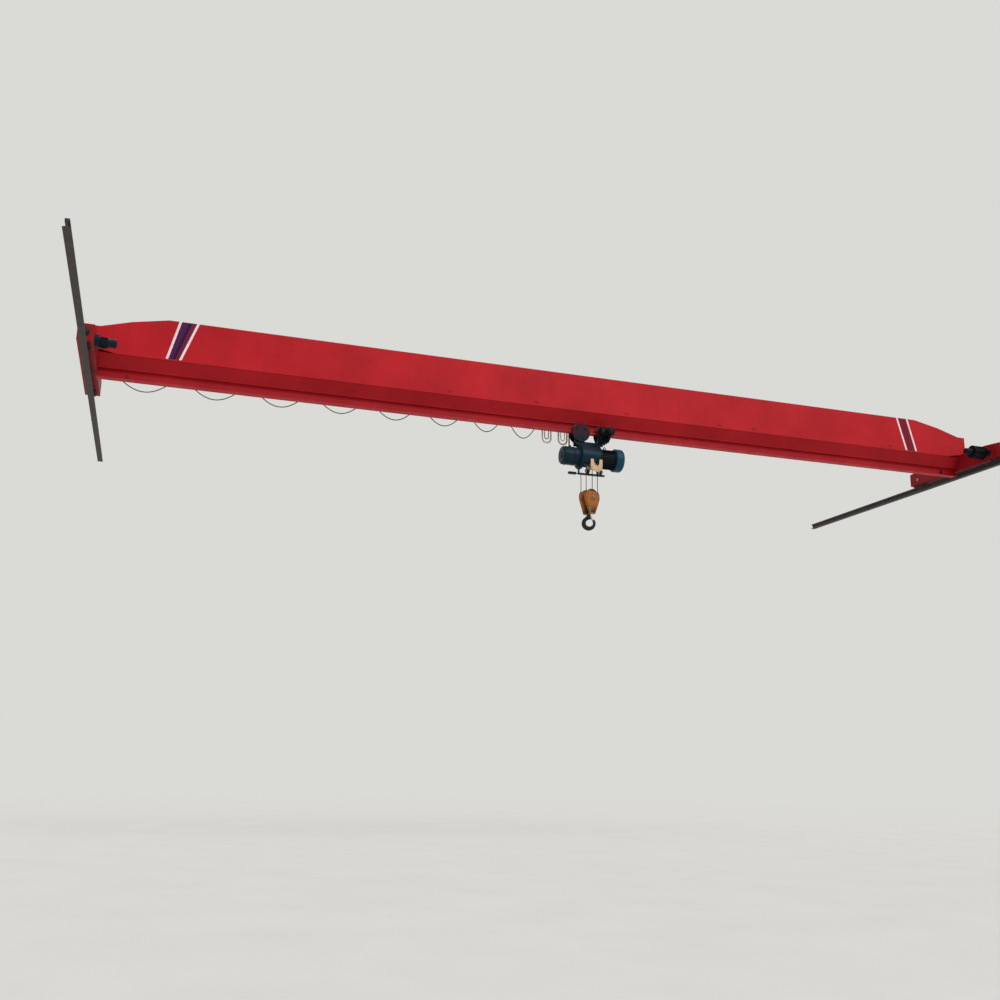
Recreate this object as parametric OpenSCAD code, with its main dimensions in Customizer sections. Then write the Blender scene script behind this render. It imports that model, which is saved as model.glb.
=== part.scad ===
// Overhead bridge crane with one welded girder and an underslung wire rope hoist.
// Millimetres, +Z up. X runs along the girder, Y along the runway rails.
// The origin is the middle of the left rail's foot, under the girder's centre line.

/* [Runway rails] */
// Length of each rail
rail_length = 12000; // [10000:500:24000]
// Height of the rail from foot to running face
rail_height = 134; // [110:1:160]
// Width of the rail's head
rail_head_w = 68; // [60:1:72]
// Depth of the rail's head
rail_head_h = 39; // [30:1:45]
// Width of the rail's foot
rail_foot_w = 114; // [90:1:150]
// Thickness of the rail's foot at its edge
rail_foot_edge = 9; // [6:1:14]
// Thickness of the rail's web
rail_web = 13; // [10:1:20]

/* [Bridge] */
// Distance between the middles of the two rails
span = 19500; // [16500:500:24000]
// Distance between the two wheels of an end carriage
wheelbase = 2500; // [2400:100:4000]
// Play between a wheel's tread and what it rolls on
roll_gap = 0.3; // [0.2:0.1:0.6]

/* [Girder] */
// Width over the two side plates
girder_w = 455; // [400:5:560]
// Height of the side plates at mid span
side_h = 795; // [650:5:900]
// Thickness of the pressed plate
shell_t = 6; // [5:1:10]
// Length of each tapered end
taper_len = 1200; // [900:50:1800]
// Length of the steeper outer part of each taper
steep_len = 550; // [400:10:800]
// How much lower the girder's top is at its ends
taper_drop = 290; // [200:10:380]
// Part of that drop that the steeper outer part makes
steep_drop = 160; // [100:10:190]
// Length of the level top over each end carriage
end_flat = 190; // [150:10:450]
// How far the girder reaches past the rail's middle
end_reach = 60; // [40:5:120]
// How much higher the girder's underside is over the carriages
end_rise = 55; // [40:5:80]
// Height that the slanted lower plates take up
slant_drop = 220; // [200:10:340]
// Thickness of the slanted plates
slant_t = 8; // [6:1:12]
// Thickness of a plate inside the girder
diaphragm_t = 6; // [5:1:10]
// Spacing of the plates inside the girder
diaphragm_pitch = 1600; // [1200:100:2400]
// Gap between the inside plates and the track beam
diaphragm_lift = 60; // [40:5:120]

/* [Track beam] */
// Width of the beam's flanges
flange_w = 150; // [140:2:170]
// Thickness of the lower flange
flange_t = 18; // [14:1:24]
// Thickness of the upper flange
top_flange_t = 16; // [12:1:24]
// Thickness of the beam's web
track_web = 11; // [8:1:16]
// Clear height of web between the two flanges
track_clear = 170; // [168:2:240]

/* [End carriages] */
// Width of the carriage box
carriage_w = 280; // [240:10:320]
// Height of the carriage box at its middle
carriage_h = 345; // [335:5:480]
// Height of the carriage box at its ends
carriage_end_h = 300; // [290:5:330]
// Length of the sloped top near each end
carriage_slope = 450; // [200:10:700]
// Distance from a wheel's axis to the end plate
carriage_nose = 270; // [200:10:400]
// Thickness of the carriage's plates
carriage_t = 8; // [6:1:12]
// Gap between the rail's running face and the box
carriage_lift = 20; // [15:5:60]
// Thickness of the plates that join the girder to the carriages
saddle_t = 12; // [8:1:20]

/* [Bridge wheels] */
// Radius of the wheel's tread
wheel_r = 135; // [125:5:150]
// Width of the tread between the wheel's two lips
tread_w = 92; // [84:1:100]
// Height of each lip over the tread
lip_h = 18; // [12:1:22]
// Thickness of each lip
lip_t = 17; // [12:1:22]
// Radius of the wheel's axle
axle_r = 35; // [28:1:45]
// Play round an axle
axle_play = 0.05; // [0.02:0.01:0.08]

/* [Bridge drives] */
// Radius of the left travel motor's body
drive_left_r = 102; // [90:2:125]
// Length of the left travel motor's body
drive_left_len = 150; // [120:10:300]
// Radius of the left motor's brake cap
drive_left_cap_r = 80; // [50:2:88]
// Length of the left motor's brake cap
drive_left_cap_len = 150; // [80:5:220]
// Radius of the right travel motor's body
drive_right_r = 150; // [100:2:154]
// Length of the right travel motor's body
drive_right_len = 310; // [120:10:340]
// Radius of the right motor's brake cap
drive_right_cap_r = 68; // [50:2:88]
// Length of the right motor's brake cap
drive_right_cap_len = 200; // [80:5:220]
// Thickness of the travel gear case
drive_gear_t = 60; // [50:5:120]
// Distance along the carriage from the wheel's axis to the motor's axis
drive_shift = 190; // [150:5:210]
// Height of the motor's axis over the wheel's axis
drive_lift = 45; // [35:5:60]
// Number of cooling ribs round each travel motor
drive_ribs = 24; // [16:2:32]

/* [Buffers] */
// Radius of a rubber buffer
buffer_r = 55; // [40:5:75]
// Length of a rubber buffer
buffer_len = 100; // [60:5:150]

/* [Trolley] */
// Place of the hook's centre line along the span
hoist_x = 9980; // [9000:10:12000]
// Nearest that the hook's centre line comes to the left rail
approach_left = 1100; // [1050:50:2000]
// Nearest that the hook's centre line comes to the right rail
approach_right = 1000; // [1000:50:2000]
// Radius of a trolley wheel's tread
roller_r = 67; // [60:1:70]
// Width of a trolley wheel's tread
roller_w = 36; // [28:1:42]
// Radius of a trolley wheel's axle
roller_axle_r = 18; // [14:1:24]
// Distance between the two wheels of one trolley frame
roller_pitch = 190; // [180:5:220]
// Distance from the hook's centre line to the left trolley frame
frame_left = 220; // [210:10:300]
// Radius of the left trolley frame's round side plates
frame_r = 195; // [185:5:205]
// Distance from the hook's centre line to the right trolley frame
frame_right = 300; // [280:10:400]
// Thickness of the trolley's side plates
side_t = 12; // [8:1:20]
// Radius of the trolley's travel motor
trolley_motor_r = 95; // [70:5:110]
// Length of the trolley's travel motor
trolley_motor_len = 260; // [180:10:320]

/* [Hoist] */
// Distance from the track beam's underside to the drum's axis
drum_drop = 515; // [500:5:700]
// Radius over the rope on the drum
drum_r = 150; // [120:5:170]
// Length of the rope drum
drum_len = 332; // [300:4:600]
// Radius of the drum's shaft
shaft_r = 40; // [30:2:60]
// Diameter of the rope
rope_d = 15; // [11:1:18]
// Radius over the drum housing
housing_r = 255; // [245:5:280]
// Thickness of the drum housing's wall
housing_t = 8; // [5:1:12]
// Radius of the hoist motor's body
motor_r = 212; // [160:4:224]
// Length of the hoist motor's body
motor_len = 355; // [200:5:400]
// Number of cooling ribs round the hoist motor
motor_ribs = 32; // [24:2:40]
// Radius of the hoist motor's end cover
cover_r = 245; // [220:5:260]
// Length of the hoist motor's end cover
cover_len = 185; // [150:5:400]
// Thickness of the plate between the drum and the gear case
gear_t = 60; // [50:5:120]
// Radius of the round gear case
gear_cap_r = 194; // [140:2:220]
// Length of the round gear case
gear_cap_len = 390; // [150:10:400]
// Radius of a rope pulley below the drum
pulley_r = 55; // [40:5:56]

/* [Hook block] */
// Length of rope that shows between the hoist and the block
fall_gap = 290; // [200:10:900]
// Pitch radius of the block's sheaves
sheave_r = 160; // [120:5:165]
// Thickness of a sheave
sheave_t = 40; // [30:2:48]
// Distance between the middles of the two sheaves
sheave_gap = 160; // [146:2:180]
// Width over one sheave's pair of cover plates
cover_w = 68; // [60:1:70]
// Radius of the top of a sheave cover
block_r = 190; // [185:5:210]
// Turn of the block about its vertical axis
block_turn = 20; // [0:5:45]
// Height from the sheaves' axis down to the hook's crosshead
cross_drop = 260; // [240:10:360]
// Inner radius of the hook's bowl
bowl_r = 75; // [62:1:80]
// Outer radius of the hook's bowl
hook_r = 146; // [140:1:150]
// Thickness of the hook across its plane
hook_t = 64; // [56:2:68]
// Turn of the hook about its shank
hook_turn = -20; // [-90:5:90]
// Radius of the hook's shank
shank_r = 26; // [20:1:30]

/* [Festoon] */
// Diameter of the hanging cable
cable_d = 18; // [12:1:26]
// Distance from the girder's side to the festoon wire
wire_out = 110; // [80:5:160]
// Radius of the festoon wire
wire_r = 5; // [3:1:8]
// Diameter of the tied bundle of cable beside the hoist
bundle_d = 34; // [24:2:40]

/* [Hidden] */
$fn = 48;
cut = 1;
seat = 0.2;

red = "#B3242F";
deep_red = "#8A1C26";
navy = "#1B2F45";
teal = "#1E5672";
ochre = "#C57F33";
black = "#1A1B1D";
steel = "#8A8C8E";
cream = "#D8B38F";

rail_top = rail_height;
carriage_z0 = rail_top + carriage_lift;
carriage_top = carriage_z0 + carriage_h;
crease_z = carriage_top - end_rise;
girder_top = crease_z + side_h;
track_top = crease_z - slant_drop;
track_level = track_top - top_flange_t - track_clear - flange_t;
girder_x0 = -end_reach;
girder_x1 = span + end_reach;
girder_y = girder_w / 2;
rise_x = carriage_w / 2 + 40;
bevel_x = carriage_w / 2 + 310;
axle_z = rail_top + roll_gap + wheel_r;
carriage_half = wheelbase / 2 + carriage_nose;
inner_x0 = carriage_w / 2;
inner_x1 = span - carriage_w / 2;
track_x0 = inner_x0 + saddle_t;
track_len = inner_x1 - inner_x0 - 2 * saddle_t;
slant_in = flange_w / 2;
axle_end = carriage_w / 2 + 12;
hub_half = tread_w / 2 + lip_t;

drum_z = track_level - drum_drop;
flange_top = track_level + flange_t;
roller_z = flange_top + roll_gap + roller_r;
side_y = flange_w / 2 + 24;
side_out = side_y + side_t;
rod_z = track_level - 120;
rod_r = 20;
rod_x = 60;
hang_z = track_level - 195;
hang_half = 110;
channel_half = 75;
disc_t = 20;
gear_x1 = hoist_x - 188;
gear_x0 = gear_x1 - gear_t;
motor_x0 = gear_x1 + drum_len + disc_t + 30;
cover_x0 = motor_x0 + motor_len;
housing_in = housing_r - housing_t;
frame_z = drum_z - housing_r - 125;
bar_h = 30;
sheave_z = frame_z - fall_gap - block_r;
cross_z = sheave_z - cross_drop;
cross_h = 70;
hook_z = cross_z - 290;
tip_angle = 35;
latch_x = 20;
latch_z = bowl_r + 82;
latch_pin_r = 6;
rim_r = housing_r + 7;
box_x = hoist_x - 120;
pulley_z = frame_z + 95;
pulley_x = [hoist_x - 37, hoist_x + 255];
pulley_w = 40;
pulley_pin_r = 12;
wire_y = girder_y + wire_out;
wire_z = crease_z - 10;
motor_y = drive_shift - wheelbase / 2;
motor_z = axle_z + drive_lift;
trolley_motor_z = track_level - 30;
stop_t = 16;
roller_reach = roller_pitch / 2 + roller_r + 14;
stop_x0 = approach_left - frame_left - roller_reach - 5 - stop_t;
stop_x1 = span - approach_right + frame_right + roller_reach + 5;

// A round bar from a point towards +X
module x_rod(x, y, z, r, len) {
    translate([x, y, z])
        rotate([0, 90, 0])
            cylinder(r = r, h = len);
}

// A round bar from a point towards +Y
module y_rod(x, y, z, r, len) {
    translate([x, y, z])
        rotate([-90, 0, 0])
            cylinder(r = r, h = len);
}

// A turned shape about a line along X; its outline is drawn as radius and length
module x_turned(x, y, z) {
    translate([x, y, z])
        rotate([0, 90, 0])
            rotate_extrude()
                children();
}

// Cooling ribs round a motor that lies along X
module x_ribs(x, y, z, r_in, r_out, len, count) {
    rib_t = r_out / 36;
    for (i = [0:count - 1])
        translate([x, y, z])
            rotate([360 * i / count, 0, 0])
                translate([0, -rib_t / 2, r_in])
                    cube([len, rib_t, r_out - r_in]);
}

// An outline drawn in X and Z, given its thickness along Y from a starting Y
module xz_plate(y, t) {
    translate([0, y + t, 0])
        rotate([90, 0, 0])
            linear_extrude(height = t)
                children();
}

// An outline drawn in Y and Z, given its length along X from a starting X
module yz_plate(x, len) {
    translate([x, 0, 0])
        rotate([90, 0, 90])
            linear_extrude(height = len)
                children();
}

// Runway rail: head, web and foot rolled in one profile
module rail_profile() {
    foot_root = rail_foot_edge + 12;
    head_root = rail_height - rail_head_h;
    bevel = 8;
    polygon([
        [-rail_foot_w / 2, 0], [rail_foot_w / 2, 0], [rail_foot_w / 2, rail_foot_edge],
        [rail_web / 2, foot_root], [rail_web / 2, head_root - bevel],
        [rail_head_w / 2, head_root], [rail_head_w / 2, rail_height - bevel],
        [rail_head_w / 2 - bevel, rail_height], [bevel - rail_head_w / 2, rail_height],
        [-rail_head_w / 2, rail_height - bevel], [-rail_head_w / 2, head_root],
        [-rail_web / 2, head_root - bevel], [-rail_web / 2, foot_root],
        [-rail_foot_w / 2, rail_foot_edge]
    ]);
}

module rail(x) {
    color(black)
        translate([x, rail_length / 2, 0])
            rotate([90, 0, 0])
                linear_extrude(height = rail_length)
                    rail_profile();
}

// Side view of the girder's upper box; the inside is drawn with a margin m
module girder_outline(m) {
    low = m > 0 ? crease_z - cut : crease_z;
    raised = m > 0 ? low : crease_z + end_rise;
    end_z = girder_top - taper_drop - m;
    steep_z = end_z + steep_drop;
    steep_x = end_flat + steep_len;
    top_x = end_flat + taper_len;
    polygon([
        [girder_x0 - m, raised], [rise_x, raised], [bevel_x, low],
        [span - bevel_x, low], [span - rise_x, raised], [girder_x1 + m, raised],
        [girder_x1 + m, end_z], [girder_x1 - end_flat, end_z],
        [girder_x1 - steep_x, steep_z], [girder_x1 - top_x, girder_top - m],
        [girder_x0 + top_x, girder_top - m], [girder_x0 + steep_x, steep_z],
        [girder_x0 + end_flat, end_z], [girder_x0 - m, end_z]
    ]);
}

module girder_shell() {
    color(red)
        difference() {
            xz_plate(-girder_y, girder_w)
                girder_outline(0);
            xz_plate(-girder_y + shell_t, girder_w - 2 * shell_t)
                girder_outline(shell_t);
        }
}

// One slanted plate, from the girder's side down to the track beam's upper flange
module slant_plate(side) {
    yz_plate(track_x0, track_len)
        polygon([
            [side * girder_y, crease_z],
            [side * slant_in, track_top],
            [side * (slant_in - slant_t), track_top],
            [side * (girder_y - slant_t - shell_t), crease_z]
        ]);
}

module girder_slant_plates() {
    color(deep_red) {
        slant_plate(-1);
        slant_plate(1);
    }
}

// Plates that close the girder's two ends
module girder_end_plates() {
    end_h = side_h - taper_drop - shell_t - end_rise;
    inside = girder_w - 2 * shell_t;
    color(red)
        for (x = [girder_x0, girder_x1 - shell_t])
            translate([x, -inside / 2, carriage_top])
                cube([shell_t, inside, end_h]);
}

// Plates across the inside of the girder that keep its sides apart
module girder_diaphragms() {
    inside = girder_w - 2 * shell_t;
    first = girder_x0 + end_flat + taper_len + 200;
    last = girder_x1 - end_flat - taper_len - 200;
    count = floor((last - first) / diaphragm_pitch);
    color(deep_red)
        for (i = [0:count])
            translate([first + i * (last - first) / count, -inside / 2, crease_z + diaphragm_lift])
                cube([diaphragm_t, inside, side_h - shell_t - diaphragm_lift]);
}

// Rolled beam whose lower flange carries the trolley
module track_beam() {
    upper = track_top - top_flange_t;
    half = flange_w / 2;
    color(red)
        yz_plate(track_x0, track_len)
            polygon([
                [-half, track_level], [half, track_level],
                [half, flange_top], [track_web / 2, flange_top],
                [track_web / 2, upper], [half, upper],
                [half, track_top], [-half, track_top],
                [-half, upper], [-track_web / 2, upper],
                [-track_web / 2, flange_top], [-half, flange_top]
            ]);
}

// Side view of an end carriage; the inside is drawn with a margin m
module carriage_outline(m) {
    h = carriage_half - m;
    end_z = carriage_z0 + carriage_end_h - m;
    polygon([
        [-h, carriage_z0 + m], [h, carriage_z0 + m], [h, end_z],
        [carriage_half - carriage_slope, carriage_top - m],
        [carriage_slope - carriage_half, carriage_top - m],
        [-h, end_z]
    ]);
}

// End carriage: a welded box with a slot under each wheel
module carriage(x) {
    slot_l = 2 * (wheel_r + lip_h + 14);
    slot_w = 2 * hub_half + 24;
    color(deep_red)
        difference() {
            yz_plate(x - carriage_w / 2, carriage_w)
                carriage_outline(0);
            yz_plate(x - carriage_w / 2 + carriage_t, carriage_w - 2 * carriage_t)
                carriage_outline(carriage_t);
            for (s = [-1, 1]) {
                translate([x - slot_w / 2, s * wheelbase / 2 - slot_l / 2, carriage_z0 - cut])
                    cube([slot_w, slot_l, carriage_t + 2 * cut]);
                x_rod(x - carriage_w, s * wheelbase / 2, axle_z, axle_r + axle_play, 2 * carriage_w);
            }
        }
}

// Plate that joins the girder's lower part to a carriage's inner side, with the
// wedge below the girder's raised end
module girder_saddle() {
    wedge_y = girder_y - 60;
    union() {
        yz_plate(inner_x0, saddle_t)
            polygon([
                [-slant_in - 20, track_level], [slant_in + 20, track_level],
                [slant_in + 20, track_top], [girder_y, crease_z],
                [-girder_y, crease_z], [-slant_in - 20, track_top]
            ]);
        xz_plate(-wedge_y, 2 * wedge_y)
            polygon([
                [inner_x0, crease_z], [bevel_x, crease_z],
                [rise_x, carriage_top], [inner_x0, carriage_top]
            ]);
    }
}

module girder_saddles() {
    color(red) {
        girder_saddle();
        translate([span, 0, 0])
            mirror([1, 0, 0])
                girder_saddle();
    }
}

// Fixed axles of the four bridge wheels, with collars beside each wheel
module wheel_axles() {
    collar = carriage_w / 2 - carriage_t - hub_half - 1;
    color(steel)
        for (x = [0, span])
            for (s = [-1, 1]) {
                x_rod(x - axle_end, s * wheelbase / 2, axle_z, axle_r, 2 * axle_end);
                x_rod(x - hub_half - 0.5 - collar, s * wheelbase / 2, axle_z, axle_r + 18, collar);
                x_rod(x + hub_half + 0.5, s * wheelbase / 2, axle_z, axle_r + 18, collar);
            }
}

// Bridge wheel with a lip on both sides of its tread
module bridge_wheel(x, s) {
    lip_r = wheel_r + lip_h;
    edge = 4;
    color(steel)
        translate([x, s * wheelbase / 2, axle_z])
            rotate([0, 90, 0])
                rotate_extrude()
                    polygon([
                        [axle_r + axle_play, -hub_half], [lip_r - edge, -hub_half],
                        [lip_r, edge - hub_half], [lip_r, lip_t - hub_half - edge],
                        [wheel_r, lip_t - hub_half], [wheel_r, hub_half - lip_t],
                        [lip_r, hub_half - lip_t + edge], [lip_r, hub_half - edge],
                        [lip_r - edge, hub_half], [axle_r + axle_play, hub_half]
                    ]);
}

// Travel gear case on the inner side of a carriage, over the driven wheel's axle
module drive_gear(flip, x, r) {
    hub_r = 115;
    translate([x, 0, 0])
        mirror([flip, 0, 0])
            difference() {
                yz_plate(carriage_w / 2, drive_gear_t)
                    union() {
                        translate([-wheelbase / 2, axle_z])
                            circle(r = hub_r);
                        translate([motor_y, motor_z])
                            circle(r = r);
                    }
                x_rod(carriage_w / 2 - cut, -wheelbase / 2, axle_z, axle_r + 5, 20);
            }
}

module drive_gears() {
    color(navy) {
        drive_gear(0, 0, drive_left_r + 8);
        drive_gear(1, span, drive_right_r + 4);
    }
}

// Ribbed travel motor with a domed brake cap, lying along the girder
module drive_motor(flip, x, r, len, cap_r, cap_len) {
    start = carriage_w / 2 + drive_gear_t;
    flange = 14;
    rib_len = len - 2 * flange + 2 * cut;
    core = 0.88 * r;
    translate([x, 0, 0])
        mirror([flip, 0, 0]) {
            x_turned(start, motor_y, motor_z)
                polygon([
                    [0, 0], [r, 0], [r, flange], [core, flange], [core, len - flange],
                    [r, len - flange], [r, len], [cap_r, len], [cap_r, len + cap_len - 30],
                    [0.8 * cap_r, len + cap_len - 8], [0.5 * cap_r, len + cap_len], [0, len + cap_len]
                ]);
            x_ribs(start + flange - cut, motor_y, motor_z, core - 4, 0.98 * r, rib_len, drive_ribs);
        }
}

module drive_motor_left() {
    color(navy)
        drive_motor(0, 0, drive_left_r, drive_left_len, drive_left_cap_r, drive_left_cap_len);
}

module drive_motor_right() {
    color(black)
        drive_motor(1, span, drive_right_r, drive_right_len, drive_right_cap_r, drive_right_cap_len);
}

// Rubber buffers on the carriage's end plates
module buffers(x) {
    color(black)
        for (s = [-1, 1])
            translate([x, s * carriage_half, carriage_z0 + carriage_end_h / 2])
                rotate([s * -90, 0, 0]) {
                    cylinder(r = buffer_r + 15, h = 12);
                    cylinder(r = buffer_r, h = buffer_len);
                }
}

// Stop blocks on both sides of the track beam's web
module trolley_stops() {
    stop_h = 110;
    stop_w = 64;
    color(red)
        for (x = [stop_x0, stop_x1])
            for (y = [track_web / 2, -track_web / 2 - stop_w])
                translate([x, y, flange_top])
                    cube([stop_t, stop_w, stop_h]);
}

bracket_x = inner_x0 + 30;
bracket_t = 20;
bracket_h = end_rise + 75;

// Round wire that the cable's carriers slide on
module festoon_wire() {
    x0 = bracket_x + bracket_t;
    color(steel)
        x_rod(x0, wire_y, wire_z, wire_r, span - 2 * x0);
}

// Brackets that hold the wire at both ends of the girder
module festoon_brackets() {
    color(deep_red)
        for (x = [bracket_x, span - bracket_x - bracket_t])
            translate([x, girder_y, wire_z - 20])
                cube([bracket_t, wire_out + 20, bracket_h]);
}

lug_place = [0.349, 0.445, 0.55, 0.664, 0.708, 0.893];
lug_lift = 60;

// Small lugs along the foot of the girder's front
module edge_lugs() {
    lug_t = 8;
    color(deep_red)
        for (p = lug_place)
            translate([p * span, -girder_y - lug_t, crease_z + lug_lift])
                cube([80, lug_t, 35]);
}

arm_x = hoist_x - frame_left - 50;
bunch_half = 96;
bunch_pitch = 365;
bunch_right = arm_x - 200;
drop_x = arm_x - 52;
gather_x = bunch_right - bunch_pitch;

// Places of the cable's carriers between the first and the last, and the depth of each loop
carrier_first = 320;
carrier_last = gather_x - bunch_half - 45;
carrier_part = [0, 0.153, 0.300, 0.440, 0.573, 0.698, 0.812, 0.909, 1];
carrier_x = [for (p = carrier_part) carrier_first + p * (carrier_last - carrier_first)];
loop_sag = [420, 416, 410, 400, 407, 413, 434, 484];
loop_steps = 8;
cable_z = wire_z - 60;
carrier_low = cable_z + cable_d / 2;

function loop_point(i, t) = [
    carrier_x[i] + t * (carrier_x[i + 1] - carrier_x[i]),
    wire_y,
    cable_z - 4 * t * (1 - t) * loop_sag[i]
];

// A tube of few sides along points that lie in one plane across Y
module flat_tube(points, r, sides) {
    n = len(points);
    along = [for (i = [0:n - 1]) points[min(i + 1, n - 1)] - points[max(i - 1, 0)]];
    rings = [for (i = [0:n - 1]) for (k = [0:sides - 1])
        let (a = 360 * k / sides, u = along[i] / norm(along[i]))
        points[i] + r * [-u[2] * cos(a), sin(a), u[0] * cos(a)]];
    walls = [for (i = [0:n - 2]) for (k = [0:sides - 1])
        let (a = i * sides, b = a + sides, next = (k + 1) % sides)
        [a + k, b + k, b + next, a + next]];
    start_cap = [for (k = [sides - 1:-1:0]) k];
    end_cap = [for (k = [0:sides - 1]) (n - 1) * sides + k];
    polyhedron(points = rings, faces = concat([start_cap], walls, [end_cap]));
}

// A loop of cable that hangs from two points on one level
module hanging_loop(x, half, d, leg, top) {
    for (s = [-1, 1])
        translate([x + s * half, wire_y, cable_z - leg])
            cylinder(d = d, h = top - cable_z + leg);
    translate([x, wire_y, cable_z - leg])
        rotate([90, 0, 0])
            rotate([0, 0, 180])
                rotate_extrude(angle = 180)
                    translate([half, 0])
                        circle(d = d, $fn = 16);
}

// A wide loop of bundled cable with a narrow loop inside it
module gathered_loops(x, top) {
    hanging_loop(x, bunch_half, bundle_d, 430, top);
    hanging_loop(x, bunch_half / 2 - 6, cable_d, 400, top);
}

// Hanging cable: a loop between each two carriers with a short level clip in each carrier,
// and at its end the first of the gathered loops
module festoon_cable() {
    color(black) {
        for (i = [0:len(loop_sag) - 1])
            flat_tube([for (k = [0:loop_steps]) loop_point(i, k / loop_steps)], cable_d / 2, 8);
        for (x = carrier_x)
            translate([x - 15, wire_y, cable_z])
                rotate([0, 90, 0])
                    cylinder(d = cable_d, h = 30, $fn = 8);
        gathered_loops(gather_x, carrier_low);
    }
}

// Carrier that hangs on the wire and clips the cable below it
module carrier(x) {
    difference() {
        translate([x - 15, wire_y - 14, carrier_low])
            cube([30, 28, wire_z + 20 - carrier_low]);
        x_rod(x - 20, wire_y, wire_z, wire_r + roll_gap, 40);
    }
}

// Two carriers with the bar between them that a gathered loop hangs from
module carrier_pair(x) {
    for (s = [-1, 1])
        carrier(x + s * bunch_half);
    translate([x - bunch_half, wire_y - 6, carrier_low])
        cube([2 * bunch_half, 12, 14]);
}

module festoon_carriers() {
    color(cream) {
        for (x = carrier_x)
            carrier(x);
        carrier_pair(gather_x);
    }
}

// Side plate of the right trolley frame, hanging beside the lower flange
module side_plate_outline(x) {
    half = roller_pitch / 2 + 60;
    foot = half - 50;
    polygon([
        [x - half, roller_z + 40], [x - half + 40, roller_z + 75],
        [x + half - 40, roller_z + 75], [x + half, roller_z + 40],
        [x + half, track_level - 30], [x + foot, rod_z - 50],
        [x - foot, rod_z - 50], [x - half, track_level - 30]
    ]);
}

// Two side plates with the rods that tie them below the beam; the left frame's are round
module trolley_frame(x, round_plates) {
    color(navy)
        difference() {
            union() {
                for (y = [-side_out, side_y])
                    xz_plate(y, side_t)
                        if (round_plates)
                            translate([x, track_level - 10])
                                circle(r = frame_r, $fn = 96);
                        else
                            side_plate_outline(x);
                for (s = [-1, 1])
                    y_rod(x + s * rod_x, -side_out, rod_z, rod_r, 2 * side_out);
            }
            for (s = [-1, 1])
                y_rod(x + s * roller_pitch / 2, -side_out - cut, roller_z, roller_axle_r, 2 * side_out + 2);
        }
}

// Pair of trolley wheels on one line across the beam, each with its own short axle
module rollers(x) {
    lip_r = roller_r + 14;
    edge_y = flange_w / 2;
    axle = roller_axle_r - axle_play;
    color(steel)
        for (s = [0, 1])
            mirror([0, s, 0])
                translate([x, 0, roller_z])
                    rotate([-90, 0, 0])
                        rotate_extrude()
                            polygon([
                                [0, edge_y - roller_w], [roller_r, edge_y - roller_w],
                                [roller_r, edge_y + 5], [lip_r, edge_y + 6],
                                [lip_r, edge_y + 17], [axle, edge_y + 17],
                                [axle, side_out + 6], [0, side_out + 6]
                            ]);
}

// Gear case of the trolley's travel drive, on the front side plate
module trolley_gear() {
    x = hoist_x + frame_right;
    low = trolley_motor_z - trolley_motor_r - 5;
    color(black)
        difference() {
            translate([x - 105, -side_out - 90, low])
                cube([210, 90, roller_z + 45 - low]);
            for (s = [-1, 1])
                y_rod(x + s * roller_pitch / 2, -side_out - 12, roller_z, roller_axle_r + 5, 20);
        }
}

// Ribbed travel motor of the trolley with its domed cap, pointing away from the beam
module trolley_motor() {
    r = trolley_motor_r;
    cap = 70;
    flange = 14;
    core = 0.88 * r;
    len = trolley_motor_len;
    color(black)
        translate([hoist_x + frame_right, -side_out - 90, trolley_motor_z])
            rotate([0, 0, -90]) {
                x_turned(0, 0, 0)
                    polygon([
                        [0, 0], [r, 0], [r, flange], [core, flange], [core, len - flange],
                        [r, len - flange], [r, len], [r - 22, len], [r - 22, len + cap - 25],
                        [r - 40, len + cap - 6], [r - 60, len + cap], [0, len + cap]
                    ]);
                x_ribs(flange - cut, 0, 0, core - 4, 0.98 * r, len - 2 * flange + 2 * cut, drive_ribs);
            }
}

// Lug with two bores that hangs on a trolley frame's rods; its foot may lean to the left
module hang_lug(x, lean) {
    lug_w = 60;
    top = rod_z + 45;
    difference() {
        xz_plate(-lug_w / 2, lug_w)
            polygon([
                [x - hang_half, top], [x + hang_half, top], [x + hang_half, rod_z - 40],
                [x + hang_half - lean, hang_z], [x - hang_half - lean / 2, hang_z],
                [x - hang_half, hang_z + 20]
            ]);
        for (s = [-1, 1])
            y_rod(x + s * rod_x, -lug_w, rod_z, rod_r + axle_play, 2 * lug_w);
    }
}

// Channel that ties the hoist together, and the lugs that it hangs by
module hoist_frame() {
    half = channel_half;
    t = 10;
    lean = 130;
    low = drum_z + housing_r - 60;
    start = hoist_x - frame_left - hang_half;
    len = hoist_x + frame_right + hang_half - lean - start;
    color(navy) {
        difference() {
            translate([start, -half, low])
                cube([len, 2 * half, hang_z - low]);
            translate([start - cut, t - half, low - cut])
                cube([len + 2 * cut, 2 * (half - t), hang_z - low - t + cut]);
            x_rod(start - cut, 0, drum_z, housing_r + seat, len + 2 * cut);
            x_rod(gear_x0 - cut, 0, drum_z, rim_r + seat, gear_t + 2 * cut);
            x_rod(motor_x0 - disc_t - cut, 0, drum_z, rim_r + seat, disc_t + 2 * cut);
        }
        hang_lug(hoist_x - frame_left, 0);
        hang_lug(hoist_x + frame_right, lean);
    }
}

// Cast plate that carries the gear case and the drum's left bearing
module hoist_gear_case() {
    color(navy)
        difference() {
            x_turned(gear_x0, 0, drum_z)
                polygon([[0, 0], [rim_r - 12, 0], [rim_r, 12], [rim_r, gear_t], [0, gear_t]]);
            x_rod(gear_x1 - 25, 0, drum_z, shaft_r + axle_play, 25 + cut);
        }
}

// Round gear case with its flange and domed end
module hoist_gear_cap() {
    r = gear_cap_r;
    len = gear_cap_len;
    color(navy)
        x_turned(gear_x0 - len, 0, drum_z)
            polygon([
                [0, 0], [r - 60, 0], [r - 22, 8], [r - 5, 26], [r, 50],
                [r, len - 34], [r + 20, len - 30], [r + 20, len], [0, len]
            ]);
}

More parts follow.
